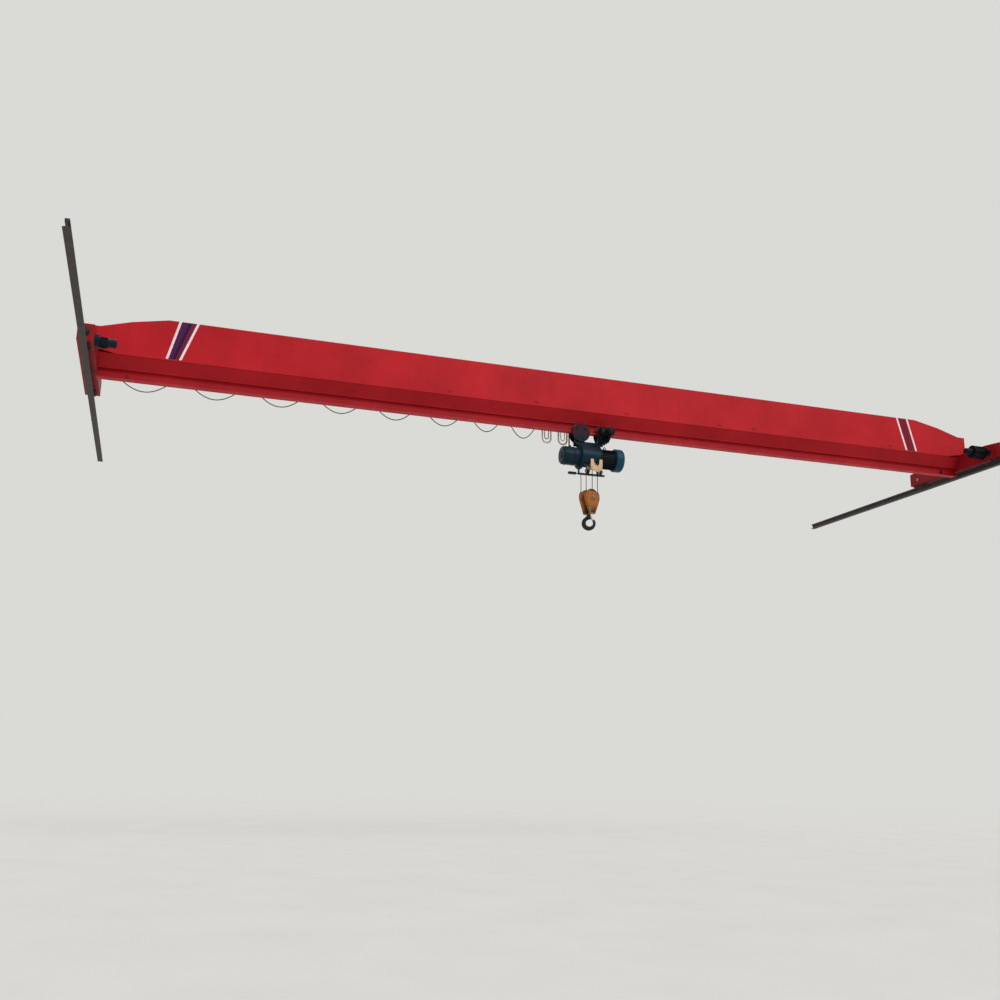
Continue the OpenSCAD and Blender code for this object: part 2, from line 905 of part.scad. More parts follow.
// Rolled cover over the drum, open below for the rope, with a rimmed disc at the motor's end
module drum_housing() {
    len = motor_x0 - gear_x1;
    open_z = drum_z - 150;
    color(navy)
        difference() {
            union() {
                x_rod(gear_x1, 0, drum_z, housing_r, len);
                x_rod(motor_x0 - disc_t, 0, drum_z, rim_r, disc_t);
            }
            x_rod(gear_x1 - cut, 0, drum_z, housing_in, len - disc_t + cut);
            translate([gear_x1 - cut, -housing_r - cut, drum_z - housing_r - cut])
                cube([len - disc_t + cut, 2 * (housing_r + cut), open_z - drum_z + housing_r + cut]);
            x_rod(gear_x1, 0, drum_z, shaft_r + axle_play, len + cut);
        }
}

// Hoist motor: cast body between two flanges, with cooling ribs all round
module hoist_motor() {
    flange = 22;
    core = motor_r - 24;
    rib_len = motor_len - 2 * flange + 2 * cut;
    color(black) {
        x_turned(motor_x0, 0, drum_z)
            polygon([
                [0, 0], [motor_r, 0], [motor_r, flange], [core, flange],
                [core, motor_len - flange], [motor_r, motor_len - flange],
                [motor_r, motor_len], [0, motor_len]
            ]);
        x_ribs(motor_x0 + flange - cut, 0, drum_z, core - 4, motor_r - 3, rib_len, motor_ribs);
    }
}

// Pressed cover over the motor's fan and brake, with a rolled edge
module motor_cover() {
    r = cover_r;
    len = cover_len;
    color(teal)
        x_turned(cover_x0, 0, drum_z)
            polygon([
                [0, 0], [r - 12, 0], [r - 4, 4], [r, 16], [r, len - 52], [r - 6, len - 28],
                [r - 20, len - 12], [r - 42, len - 3], [r - 70, len], [0, len]
            ]);
}

// Electrical box on the far side of the hoist, on a plate from the channel
module control_box() {
    box = [420, 190, 330];
    shelf_t = 12;
    door_t = 6;
    low = drum_z - 40;
    y0 = rim_r + 2;
    color(navy)
        union() {
            translate([box_x, y0, low])
                cube(box);
            translate([box_x + 15, y0 + box[1] - cut, low + 15])
                cube([box[0] - 30, door_t + cut, box[2] - 30]);
            translate([box_x + 60, channel_half, low + box[2] - shelf_t])
                cube([300, y0 + cut - channel_half, shelf_t]);
            for (x = [box_x + 80:60:box_x + 260])
                translate([x, y0 + box[1] / 2, low - 25])
                    cylinder(r = 14, h = 25 + cut);
        }
}

// Rope drum with its grooves and shaft
module hoist_drum() {
    groove_pitch = rope_d + 6;
    rim = 18;
    flange_r = drum_r + 22;
    turns = floor((drum_len - 2 * rim) / groove_pitch);
    color(steel)
        translate([gear_x1 + 15, 0, drum_z])
            rotate([0, 90, 0])
                difference() {
                    union() {
                        cylinder(r = flange_r, h = rim);
                        cylinder(r = drum_r, h = drum_len);
                        translate([0, 0, drum_len - rim])
                            cylinder(r = flange_r, h = rim);
                        translate([0, 0, -35])
                            cylinder(r = shaft_r, h = drum_len + 35 + 15 + disc_t);
                    }
                    rotate_extrude()
                        for (i = [0:turns - 1])
                            translate([drum_r, rim + groove_pitch * (i + 0.5)])
                                circle(d = rope_d, $fn = 16);
                }
}

// Ring round the drum that leads the rope, with a forked guide plate on its front
module rope_guide() {
    ring_x = hoist_x + 10;
    ring_t = 60;
    fork_t = 14;
    fork_y = -housing_r - seat - fork_t;
    fork_r = 130;
    slot_r = 56;
    fork_z = drum_z - 235;
    slot_z = drum_z - 182;
    top_z = drum_z - 92;
    x = hoist_x + 60;
    color(cream)
        union() {
            difference() {
                x_rod(ring_x, 0, drum_z, housing_in - roll_gap, ring_t);
                x_rod(ring_x - cut, 0, drum_z, drum_r + 30, ring_t + 2 * cut);
            }
            translate([ring_x, fork_y + fork_t - cut, fork_z])
                cube([ring_t, -90 - fork_y - fork_t + cut, 25]);
            xz_plate(fork_y, fork_t)
                difference() {
                    union() {
                        translate([x, fork_z])
                            circle(r = fork_r);
                        translate([x - fork_r, fork_z])
                            square([2 * fork_r, top_z - fork_z]);
                    }
                    translate([x, slot_z])
                        circle(r = slot_r);
                    polygon([
                        [x - slot_r, slot_z], [x + slot_r, slot_z],
                        [x + slot_r + 12, top_z + cut], [x - slot_r - 12, top_z + cut]
                    ]);
                }
        }
}

// Bar under the drum on two hangers: it holds two parts of the rope and a fork for each
// pulley, and a thin rod ties it to the foot of the limit switch
module rope_frame() {
    half = 32;
    hanger_w = 60;
    fork_t = 8;
    fork_y = pulley_w / 2 + 2;
    foot = [170, 60, 46];
    foot_x = hoist_x - 470;
    tie_x = foot_x + foot[0] - cut;
    bar_x0 = hoist_x - 250;
    bar_len = 590;
    color(black)
        difference() {
            union() {
                translate([bar_x0, -half, frame_z])
                    cube([bar_len, 2 * half, bar_h]);
                translate([foot_x, -foot[1] / 2, frame_z - 8])
                    cube(foot);
                x_rod(tie_x, 0, frame_z + bar_h / 2, 9, bar_x0 - tie_x + cut);
                for (x = [gear_x0, motor_x0 - disc_t])
                    translate([x, -hanger_w / 2, frame_z])
                        cube([disc_t, hanger_w, drum_z - frame_z - drum_r]);
                for (x = pulley_x) {
                    for (y = [-fork_y - fork_t, fork_y])
                        translate([x - 22, y, frame_z])
                            cube([44, fork_t, pulley_z + 20 - frame_z]);
                    y_rod(x, -fork_y - fork_t, pulley_z, pulley_pin_r, 2 * (fork_y + fork_t));
                }
            }
            x_rod(gear_x0 - cut, 0, drum_z, rim_r + seat, gear_t + 2 * cut);
            x_rod(motor_x0 - disc_t - cut, 0, drum_z, rim_r + seat, disc_t + 2 * cut);
        }
}

// Grooved pulley on its pin in the rope bar's fork
module pulley(i) {
    color(cream)
        translate([pulley_x[i], 0, pulley_z])
            rotate([90, 0, 0])
                rotate_extrude()
                    difference() {
                        translate([pulley_pin_r + axle_play, -pulley_w / 2])
                            square([pulley_r - pulley_pin_r - axle_play, pulley_w]);
                        translate([pulley_r, 0])
                            circle(d = rope_d, $fn = 16);
                    }
}

// Arm from the trolley's far side that pulls the gathered cable along
module tow_arm() {
    color(navy)
        difference() {
            union() {
                translate([arm_x - 20, side_out, roller_z - 20])
                    cube([40, wire_y + 20 - side_out, 40]);
                translate([arm_x - 20, wire_y - 20, roller_z + 20])
                    cube([40, 40, wire_z + 25 - roller_z - 20]);
            }
            x_rod(arm_x - 20 - cut, wire_y, wire_z, wire_r + 5, 40 + 2 * cut);
        }
}

// Cable gathered next to the hoist: bundled loops on two carriers, and the last length that
// drops from its own carrier and turns into the electrical box
module festoon_bunch() {
    bend_r = 60;
    drop_z = drum_z + 130;
    color(cream) {
        carrier_pair(bunch_right);
        gathered_loops(bunch_right, carrier_low + cut);
        carrier(drop_x);
        translate([drop_x, wire_y, drop_z + bend_r])
            cylinder(d = bundle_d, h = carrier_low + cut - drop_z - bend_r);
        translate([drop_x + bend_r, wire_y, drop_z + bend_r])
            rotate([90, 0, 0])
                rotate([0, 0, 180])
                    rotate_extrude(angle = 90)
                        translate([bend_r, 0])
                            circle(d = bundle_d, $fn = 16);
        x_rod(drop_x + bend_r, wire_y, drop_z, bundle_d / 2, box_x - drop_x - bend_r);
    }
}

function turned(a, b) = [
    hoist_x + a * cos(block_turn) - b * sin(block_turn),
    a * sin(block_turn) + b * cos(block_turn)
];

// Four parts of rope between the hoist and the hook block
module rope_falls() {
    color(black)
        for (a = [-sheave_r, sheave_r])
            for (b = [-sheave_gap / 2, sheave_gap / 2])
                translate([turned(a, b)[0], turned(a, b)[1], sheave_z])
                    cylinder(d = rope_d, h = frame_z - sheave_z);
}

// Two parts of rope that go on from the bar's level to the drum's front and back
module rope_leads() {
    top_z = drum_z - 87;
    color(black)
        for (s = [-1, 1]) {
            at = turned(s * sheave_r, s * sheave_gap / 2);
            translate([at[0], at[1], frame_z])
                cylinder(d = rope_d, h = top_z - frame_z);
        }
}

// Places the hook block's pieces at its axis, turned as it hangs
module at_block(z) {
    translate([hoist_x, 0, z])
        rotate([0, 0, block_turn])
            children();
}

// Teardrop covers over the block's two sheaves, with slots for the rope above
module block_covers() {
    wall = 7;
    pocket = cover_w - 2 * wall;
    tip = cross_drop + 100;
    top = 0.6 * block_r;
    color(ochre)
        at_block(sheave_z)
            for (s = [-1, 1])
                translate([0, s * sheave_gap / 2 - cover_w / 2, 0])
                    difference() {
                        xz_plate(0, cover_w)
                            union() {
                                circle(r = block_r);
                                polygon([[-block_r * cos(20), -block_r * sin(20)],
                                    [block_r * cos(20), -block_r * sin(20)],
                                    [65, -tip], [-65, -tip]]);
                            }
                        translate([-block_r - cut, -cut, top])
                            cube([2 * (block_r + cut), cover_w + 2 * cut, block_r]);
                        y_rod(0, wall, 0, sheave_r + 16, pocket);
                        translate([-sheave_r - 16, wall, 0])
                            cube([2 * (sheave_r + 16), pocket, block_r + cut]);
                        y_rod(0, -cut, 0, 25, cover_w + 2 * cut);
                    }
}

// Axle through both sheaves and their covers
module block_axle() {
    len = sheave_gap + cover_w + 24;
    color(steel)
        at_block(sheave_z)
            y_rod(0, -len / 2, 0, 25 - seat, len);
}

// Sheave with a rope groove, free on the axle
module sheave(side) {
    rim = sheave_r + 10;
    groove = rope_d / 2 + roll_gap;
    color(steel)
        at_block(sheave_z)
            translate([0, side * sheave_gap / 2, 0])
                rotate([90, 0, 0])
                    rotate_extrude()
                        difference() {
                            translate([25 + axle_play, -sheave_t / 2])
                                square([rim - 25 - axle_play, sheave_t]);
                            translate([sheave_r, 0])
                                circle(r = groove, $fn = 24);
                            polygon([[sheave_r, -groove], [rim + cut, -groove - 5],
                                [rim + cut, groove + 5], [sheave_r, groove]]);
                        }
}

// Crosshead between the covers, bored for the hook's shank
module block_crosshead() {
    w = sheave_gap - cover_w;
    color(black)
        at_block(cross_z)
            difference() {
                translate([-65, -w / 2, -cross_h / 2])
                    cube([130, w, cross_h]);
                translate([0, 0, -cross_h])
                    cylinder(r = shank_r + axle_play, h = 2 * cross_h);
            }
}

// Places the hook's pieces at its bowl's centre, turned as it hangs
module at_hook() {
    translate([hoist_x, 0, hook_z])
        rotate([0, 0, hook_turn])
            children();
}

// Forged hook: a bowl between two circles that aren't concentric, so it is thickest below
// and thins to the tip, with bevelled edges, a tapered neck, its shank and its nut
module hook() {
    half = hook_t / 2;
    edge = 15;
    neck = bowl_r + 9;
    shank_z = neck + 90;
    nut_z = cross_z + cross_h / 2 - hook_z + roll_gap;
    reach = 2 * hook_r;
    color(black)
        at_hook()
            difference() {
                union() {
                    difference() {
                        intersection() {
                            rotate([90, 0, 0])
                                rotate_extrude()
                                    polygon([
                                        [bowl_r + edge, -half], [reach, -half], [reach, half],
                                        [bowl_r + edge, half], [bowl_r, half - edge], [bowl_r, edge - half]
                                    ]);
                            translate([-16, 0, -10])
                                rotate([90, 0, 0])
                                    rotate_extrude()
                                        polygon([
                                            [0, -half], [hook_r - edge, -half], [hook_r, edge - half],
                                            [hook_r, half - edge], [hook_r - edge, half], [0, half]
                                        ]);
                        }
                        xz_plate(-hook_t, 2 * hook_t)
                            polygon([
                                [0, 0], [reach * cos(tip_angle), reach * sin(tip_angle)],
                                [reach, reach], [0, reach]
                            ]);
                    }
                    translate([0, 0, neck])
                        cylinder(r1 = 34, r2 = 30, h = shank_z - neck);
                    xz_plate(edge - half, 2 * (half - edge / 2) - edge)
                        polygon([
                            [0, shank_z], [-28, shank_z], [-115, neck + 12],
                            [-0.8 * bowl_r, 0.8 * bowl_r], [0, neck]
                        ]);
                    translate([0, 0, shank_z - cut])
                        cylinder(r = shank_r, h = nut_z + 40 - shank_z + cut);
                    translate([0, 0, nut_z])
                        cylinder(r = shank_r + 10, h = 40, $fn = 6);
                }
                y_rod(latch_x, -hook_t, latch_z, latch_pin_r + axle_play, 2 * hook_t);
            }
}

// Sprung latch: two cheeks on a pin through the hook's neck, joined by a plate that
// rests on the hook's tip
module hook_latch() {
    cheek_y = hook_t / 2 + 5.5;
    cheek_t = 3;
    toward = [cos(tip_angle), sin(tip_angle)];
    inner = bowl_r * toward + roll_gap * [-sin(tip_angle), cos(tip_angle)];
    outer = inner + 26 * toward;
    up = 0.25 * ([latch_x, latch_z] - (inner + outer) / 2);
    color(steel)
        at_hook()
            union() {
                for (y = [-cheek_y - cheek_t, cheek_y])
                    xz_plate(y, cheek_t)
                        union() {
                            translate([latch_x, latch_z])
                                circle(r = 13);
                            polygon([[latch_x - 12, latch_z], [latch_x + 12, latch_z], outer, inner]);
                        }
                xz_plate(-cheek_y - cheek_t, 2 * (cheek_y + cheek_t))
                    polygon([inner, outer, outer + up, inner + up]);
                y_rod(latch_x, -cheek_y - cheek_t, latch_z, latch_pin_r, 2 * (cheek_y + cheek_t));
            }
}

rail(0);  // rail_left
rail(span);  // rail_right
girder_shell();
girder_slant_plates();
girder_end_plates();
girder_diaphragms();
track_beam();
carriage(0);  // carriage_left
carriage(span);  // carriage_right
girder_saddles();
wheel_axles();
drive_gears();
drive_motor_left();
drive_motor_right();
buffers(0);  // buffers_left
buffers(span);  // buffers_right
trolley_stops();
festoon_wire();
festoon_brackets();
festoon_cable();
festoon_carriers();
edge_lugs();
bridge_wheel(0, -1);  // wheel_left_front
bridge_wheel(0, 1);  // wheel_left_rear
bridge_wheel(span, -1);  // wheel_right_front
bridge_wheel(span, 1);  // wheel_right_rear
trolley_frame(hoist_x - frame_left, true);  // trolley_frame_left
trolley_frame(hoist_x + frame_right, false);  // trolley_frame_right
trolley_gear();
trolley_motor();
hoist_frame();
hoist_gear_case();
hoist_gear_cap();
drum_housing();
hoist_motor();
motor_cover();
control_box();
rope_guide();
rope_frame();
rope_leads();
pulley(0);  // pulley_left
pulley(1);  // pulley_right
tow_arm();
festoon_bunch();
rope_falls();
hoist_drum();
rollers(hoist_x - frame_left - roller_pitch / 2);  // rollers_1
rollers(hoist_x - frame_left + roller_pitch / 2);  // rollers_2
rollers(hoist_x + frame_right - roller_pitch / 2);  // rollers_3
rollers(hoist_x + frame_right + roller_pitch / 2);  // rollers_4
block_covers();
block_axle();
block_crosshead();
sheave(-1);  // sheave_near
sheave(1);  // sheave_far
hook();
hook_latch();
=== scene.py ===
import math
import bpy
from mathutils import Matrix, Vector


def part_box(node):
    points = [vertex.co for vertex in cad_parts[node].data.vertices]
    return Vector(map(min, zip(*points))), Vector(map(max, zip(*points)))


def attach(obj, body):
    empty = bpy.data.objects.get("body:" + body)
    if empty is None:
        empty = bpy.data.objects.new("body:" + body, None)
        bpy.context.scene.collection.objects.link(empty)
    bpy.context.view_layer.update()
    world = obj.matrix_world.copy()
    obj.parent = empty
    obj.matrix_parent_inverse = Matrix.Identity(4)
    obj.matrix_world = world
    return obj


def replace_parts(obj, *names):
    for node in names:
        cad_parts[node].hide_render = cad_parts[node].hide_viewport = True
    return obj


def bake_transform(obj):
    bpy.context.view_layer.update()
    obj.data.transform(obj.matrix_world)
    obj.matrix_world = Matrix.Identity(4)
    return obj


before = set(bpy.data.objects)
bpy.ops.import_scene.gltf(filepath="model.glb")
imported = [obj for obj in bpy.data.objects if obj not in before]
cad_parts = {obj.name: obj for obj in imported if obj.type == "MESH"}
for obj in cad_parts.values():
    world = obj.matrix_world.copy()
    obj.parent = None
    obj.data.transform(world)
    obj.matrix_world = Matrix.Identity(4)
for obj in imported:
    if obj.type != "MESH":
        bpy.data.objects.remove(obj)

ops = bpy.ops
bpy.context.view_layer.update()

# Viewpoint: a person stands on the shop floor some 20 m in front of the crane, a little right of
# its left end, and looks up along the girder.
yaw = math.radians(17.7475)
pitch = math.radians(14.0204)
roll = math.radians(0.9617)
ahead = Vector((math.sin(yaw) * math.cos(pitch), math.cos(yaw) * math.cos(pitch), math.sin(pitch)))
level = Vector((math.cos(yaw), -math.sin(yaw), 0))
upright = level.cross(ahead)
right = level * math.cos(roll) + upright * math.sin(roll)
above = upright * math.cos(roll) - level * math.sin(roll)
eye = Vector((1.607, -20.041, -6.844))
camera_data = bpy.data.cameras.new("viewpoint")
camera_data.sensor_width = 36
camera_data.lens = 38.43
camera_data.clip_end = 900
camera = bpy.data.objects.new("viewpoint", camera_data)
bpy.context.collection.objects.link(camera)
camera.matrix_world = Matrix.Translation(eye) @ Matrix((right, above, -ahead)).transposed().to_4x4()
bpy.context.scene.camera = camera
bpy.context.scene.view_settings.view_transform = "Standard"


def tint(code):
    """sRGB hex to linear colour"""
    parts = [int(code[i:i + 2], 16) / 255 for i in (0, 2, 4)]
    return tuple(p / 12.92 if p <= 0.04045 else ((p + 0.055) / 1.055) ** 2.4 for p in parts) + (1,)


def node(tree, kind, props=None, out=0, **sockets):
    """Adds a node with its properties and its sockets, by name or _number, as values or links;
    gives back one of its outputs"""
    item = tree.nodes.new("ShaderNode" + kind)
    for name, value in (props or {}).items():
        setattr(item, name, value)
    for name, value in sockets.items():
        socket = item.inputs[int(name[1:]) if name[0] == "_" else name.replace("_", " ")]
        if isinstance(value, bpy.types.NodeSocket):
            tree.links.new(value, socket)
        else:
            socket.default_value = value
    return item.outputs[out] if item.outputs else item


# Daylight of a bright, empty hall: an even sky all round and one broad, soft lamp from the
# front and above. What the camera and a reflection see of the sky is a pale grey.
pale = tint("dadad7")
world = bpy.data.worlds.new("hall daylight")
bpy.context.scene.world = world
world.use_nodes = True
sky = world.node_tree
sky.nodes.clear()
path = node(sky, "LightPath").node.outputs
seen = node(sky, "Math", {"operation": "MAXIMUM"}, _0=path["Is Camera Ray"], _1=path["Is Glossy Ray"])
seen = node(sky, "Math", {"operation": "MAXIMUM"}, _0=seen, _1=path["Is Transmission Ray"])
lit = node(sky, "Background", Color=(0.95, 0.97, 1, 1), Strength=0.80)
shown = node(sky, "Background", Color=pale, Strength=1.0)
node(sky, "OutputWorld", Surface=node(sky, "MixShader", _0=seen, _1=lit, _2=shown))

lamp_data = bpy.data.lights.new("roof light", "SUN")
lamp_data.energy = 1.15
lamp_data.angle = math.radians(35)
lamp = bpy.data.objects.new("roof light", lamp_data)
bpy.context.collection.objects.link(lamp)
lamp.rotation_euler = Vector((0.35, -0.72, 0.62)).to_track_quat("Z", "Y").to_euler()

# Shop floor: power-floated concrete, trowelled smooth, so pale with a dull shine and faint clouds
# of about 1.2 m. It runs out into the backdrop between 14 and 60 m.
floor_z = -8.44
ops.object.select_all(action="DESELECT")
ops.mesh.primitive_circle_add(vertices=96, radius=420, fill_type="NGON", location=(9.75, 0, floor_z))
floor = bpy.context.object
floor.name = "shop_floor"
concrete = bpy.data.materials.new("power_floated_concrete")
concrete.use_nodes = True
tree = concrete.node_tree
tree.nodes.clear()
place = node(tree, "TexCoord").node.outputs["Object"]
far = node(tree, "VectorMath", {"operation": "LENGTH"}, 1, _0=place)
fade = node(tree, "MapRange", {"interpolation_type": "SMOOTHSTEP"}, _0=far, _1=14.0, _2=60.0)
grain = node(tree, "TexNoise", Vector=place, Scale=0.8, Detail=6.0, Roughness=0.6)
grain = node(tree, "MapRange", _0=grain, _1=0.3, _2=0.7)
shade = node(tree, "Mix", {"data_type": "RGBA"}, 2, _0=grain, _6=tint("dad7d0"), _7=tint("dfdcd5"))
slab = node(tree, "BsdfPrincipled", Base_Color=shade, Roughness=0.55)
glow = node(tree, "Emission", Color=pale, Strength=1.0)
node(tree, "OutputMaterial", Surface=node(tree, "MixShader", _0=fade, _1=slab, _2=glow))
floor.data.materials.append(concrete)


# Runway rails: 12 m lengths of rolled crane rail, dark with mill scale and grease, the head
# polished bright where the wheels run.
def base(name, shine=0.5):
    """An empty material with its Principled shader and the piece's own coordinates"""
    material = bpy.data.materials.new(name)
    material.use_nodes = True
    tree = material.node_tree
    tree.nodes.clear()
    shader = node(tree, "BsdfPrincipled").node
    shader.inputs["Specular IOR Level"].default_value = shine
    node(tree, "OutputMaterial", Surface=shader.outputs[0])
    return material, tree, shader, node(tree, "TexCoord").node.outputs["Object"]


times = {"operation": "MULTIPLY"}
greater = {"operation": "GREATER_THAN"}
absolute = {"operation": "ABSOLUTE"}
rgb = {"data_type": "RGBA"}


def patches(tree, place, size, low, high, stretch=(1, 1, 1), detail=4.0):
    """Soft patches about size metres across: 0 below low, 1 above high"""
    spot = node(tree, "Mapping", Vector=place, Scale=[s / size for s in stretch])
    cloud = node(tree, "TexNoise", Vector=spot, Scale=1.0, Detail=detail, Roughness=0.55)
    return node(tree, "MapRange", _0=cloud, _1=low, _2=high)


def finish(shader, colour=None, rough=None, metal=None, height=None, depth=0.001, strength=0.5):
    """Links the finished colour, roughness and relief of a material to its shader"""
    tree = shader.id_data
    for name, value in (("Base Color", colour), ("Roughness", rough), ("Metallic", metal)):
        if isinstance(value, bpy.types.NodeSocket):
            tree.links.new(value, shader.inputs[name])
        elif value is not None:
            shader.inputs[name].default_value = value
    if height is not None:
        bump = node(tree, "Bump", Height=height, Distance=depth, Strength=strength)
        tree.links.new(bump, shader.inputs["Normal"])


def mottled(name, codes, cloud, rough, metal, grain=None, depth=0.0003, strength=0.3, shine=0.5, share=1.0):
    """A material in two tones, mixed by soft clouds; its relief is a grain of this noise scale and
    detail, or else the clouds"""
    material, tree, shader, place = base(name, shine)
    clouds = patches(tree, place, *cloud)
    mixed = node(tree, "Math", times, _0=clouds, _1=share)
    colour = node(tree, "Mix", rgb, 2, _0=mixed, _6=tint(codes[0]), _7=tint(codes[1]))
    relief = clouds
    if grain:
        relief = node(tree, "TexNoise", Vector=place, Scale=grain[0], Detail=grain[1])
    finish(shader, colour, rough, metal, relief, depth, strength)
    return material


def clad(material, *names):
    """Gives CAD nodes this material in place of their own"""
    for name in names:
        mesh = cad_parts[name].data
        mesh.materials.clear()
        mesh.materials.append(material)


# Hot-rolled steel: blue-black scale with rust in 180 mm clouds, so dull and dark; the head is
# rubbed to metal, with streaks 20 mm wide along the rail.
rail_steel, tree, shader, place = base("rolled_rail_steel")
height_z = node(tree, "SeparateXYZ", None, 2, Vector=place)
top_band = node(tree, "MapRange", _0=height_z, _1=0.1325, _2=0.1338)
bloom = patches(tree, place, 0.18, 0.42, 0.7)
scale_colour = node(tree, "Mix", rgb, 2, _0=bloom, _6=tint("2c2b2c"), _7=tint("4a352b"))
streaks = patches(tree, place, 0.02, 0.3, 0.7, (1, 0.03, 1))
bright = node(tree, "Mix", rgb, 2, _0=streaks, _6=tint("8d8f92"), _7=tint("6f7275"))
rub = patches(tree, place, 0.006, 0.3, 0.7, (1, 0.2, 1))
finish(shader, node(tree, "Mix", rgb, 2, _0=top_band, _6=scale_colour, _7=bright),
       node(tree, "MapRange", _0=top_band, _3=0.72, _4=0.34), top_band, rub, 0.0004, 0.4)
clad(rail_steel, "rail_left", "rail_right")


# Box girder: 6 mm plate pressed to an upturned U, shot-blasted and sprayed with red enamel, two
# pale stripes with a maroon band on the web near each end. Sheets are butt-welded every 3 m.
def enamel(name, code, gloss, dirt=0.5, settle=0.3):
    """Sprayed enamel: orange peel, slow change of shade, dust on what faces up, thin grime"""
    material, tree, shader, place = base(name, 0.12)
    deep = tuple(c * 0.84 for c in tint(code)[:3]) + (1,)
    light = tuple(min(1, c * 1.08 + 0.002) for c in tint(code)[:3]) + (1,)
    slow = patches(tree, place, 0.9, 0.30, 0.70)
    colour = node(tree, "Mix", rgb, 2, _0=slow, _6=deep, _7=light)
    runs = patches(tree, place, 0.10, 0.56, 0.80, (1, 1, 0.12), 6.0)
    grime = node(tree, "Math", times, _0=runs, _1=0.34 * dirt)
    colour = node(tree, "Mix", rgb, 2, _0=grime, _6=colour, _7=tint("201916"))
    facing = node(tree, "SeparateXYZ", None, 2, Vector=node(tree, "NewGeometry").node.outputs["Normal"])
    upward = node(tree, "MapRange", _0=facing, _1=0.35, _2=0.95)
    settled = node(tree, "Math", times, _0=upward, _1=patches(tree, place, 0.05, 0.25, 0.75))
    settled = node(tree, "Math", times, _0=settled, _1=settle)
    colour = node(tree, "Mix", rgb, 2, _0=settled, _6=colour, _7=tint("8f877d"))
    chips = patches(tree, place, 0.014, 0.735, 0.76, detail=2.0)
    chips = node(tree, "Math", times, _0=chips, _1=dirt)
    colour = node(tree, "Mix", rgb, 2, _0=chips, _6=colour, _7=tint("3b3431"))
    uneven = patches(tree, place, 0.25, 0.3, 0.7)
    rough = node(tree, "MapRange", _0=uneven, _3=gloss - 0.06, _4=gloss + 0.10)
    rough = node(tree, "Math", {"operation": "MAXIMUM"}, _0=rough, _1=settled)
    peel = node(tree, "TexNoise", Vector=place, Scale=260.0, Detail=2.0)
    finish(shader, colour, rough, 0.0, peel, 0.0006, 0.35)
    return material, tree, shader, place, colour


# Spray enamel on thin plate: an even, half-glossy red with 4 mm orange peel, dust on its upper
# faces, faint runs 100 mm apart, and sheets that wave a little every 0.8 m.
red_enamel, tree, shader, place, colour = enamel("red_girder_enamel", "b3121c", 0.42, dirt=0.35)
along, outward, upward = node(tree, "SeparateXYZ", Vector=place).node.outputs
web_low, web_high = 0.472, 1.2385
up_web = node(tree, "MapRange", {"clamp": False}, _0=upward, _1=web_low, _2=web_high)
on_web = node(tree, "Math", {"operation": "LESS_THAN"}, _0=up_web, _1=1.0)
on_web = node(tree, "Math", times, _0=node(tree, "Math", greater, _0=up_web, _1=0.0), _1=on_web)
web_y = 0.2265
beside = node(tree, "Math", greater, _0=node(tree, "Math", absolute, _0=outward), _1=web_y)
on_web = node(tree, "Math", times, _0=on_web, _1=beside)


def slanted(x_low, x_high, half):
    """1 on a slanting line of the web, from x_low at its foot to x_high at its top"""
    line = node(tree, "MapRange", {"clamp": False}, _0=up_web, _3=x_low, _4=x_high)
    gap = node(tree, "Math", {"operation": "SUBTRACT"}, _0=along, _1=line)
    gap = node(tree, "Math", absolute, _0=gap)
    near = node(tree, "Math", {"operation": "LESS_THAN"}, _0=gap, _1=half)
    return node(tree, "Math", times, _0=near, _1=on_web)


scuffs = node(tree, "Math", times, _0=patches(tree, place, 0.035, 0.35, 0.75), _1=0.5)
stripe_white = node(tree, "Mix", rgb, 2, _0=scuffs, _6=tint("f3dfdd"), _7=tint("c98a8c"))
for foot, top, band, painted_sheen, core in (((1.349, 1.589), (1.538, 1.861), "681538", "481448", "2c0630"),
        ((17.883, 18.151), (17.675, 17.950), "7c1024", "760e22", "700d20")):
    middle_foot, middle_top = sum(foot) / 2, sum(top) / 2
    colour = node(tree, "Mix", rgb, 2, _0=slanted(middle_foot, middle_top, (top[1] - top[0]) * 0.42),
            _6=colour, _7=tint(band))
    # A purple strip over one side of each maroon band: a painted sheen.
    colour = node(tree, "Mix", rgb, 2, _0=slanted(middle_foot - 0.06, middle_top - 0.075, 0.070),
            _6=colour, _7=tint(painted_sheen))
    colour = node(tree, "Mix", rgb, 2, _0=slanted(middle_foot, middle_top + 0.02, 0.028),
            _6=colour, _7=tint(core))
    for low_x, high_x in zip(foot, top):
        line = slanted(low_x, high_x, 0.023)
        colour = node(tree, "Mix", rgb, 2, _0=line, _6=colour, _7=stripe_white)
butt = node(tree, "Math", {"operation": "PINGPONG"}, _0=along, _1=1.5)
seam = node(tree, "MapRange", _0=butt, _1=0.0, _2=0.010, _3=1.0, _4=0.0)
over = node(tree, "Math", greater, _0=upward, _1=0.446)
seam = node(tree, "Math", times, _0=seam, _1=over)
wavy = node(tree, "TexNoise", Vector=place, Scale=1.3, Detail=1.0)
peel = node(tree, "TexNoise", Vector=place, Scale=260.0, Detail=2.0)
relief = node(tree, "Math", {"operation": "MULTIPLY_ADD"}, _0=wavy, _1=6.0, _2=seam)
relief = node(tree, "Math", {"operation": "MULTIPLY_ADD"}, _0=peel, _1=0.25, _2=relief)
seam = node(tree, "Math", times, _0=seam, _1=0.25)
colour = node(tree, "Mix", rgb, 2, _0=seam, _6=colour, _7=tint("55080f"))
finish(shader, colour, None, None, relief, 0.002, 0.55)
clad(red_enamel, "girder_shell", "girder_end_plates")

# Lower plates: slanted plates and joining plates, welded on and sprayed with the same enamel,
# given here in a darker copy as painted shade; the inside plates only ever got workshop primer.
red_under_painted_shade = enamel("red_underside_enamel_painted_shade", "a0111a", 0.46, dirt=0.4)[0]
clad(red_under_painted_shade, "girder_slant_plates", "girder_saddles")
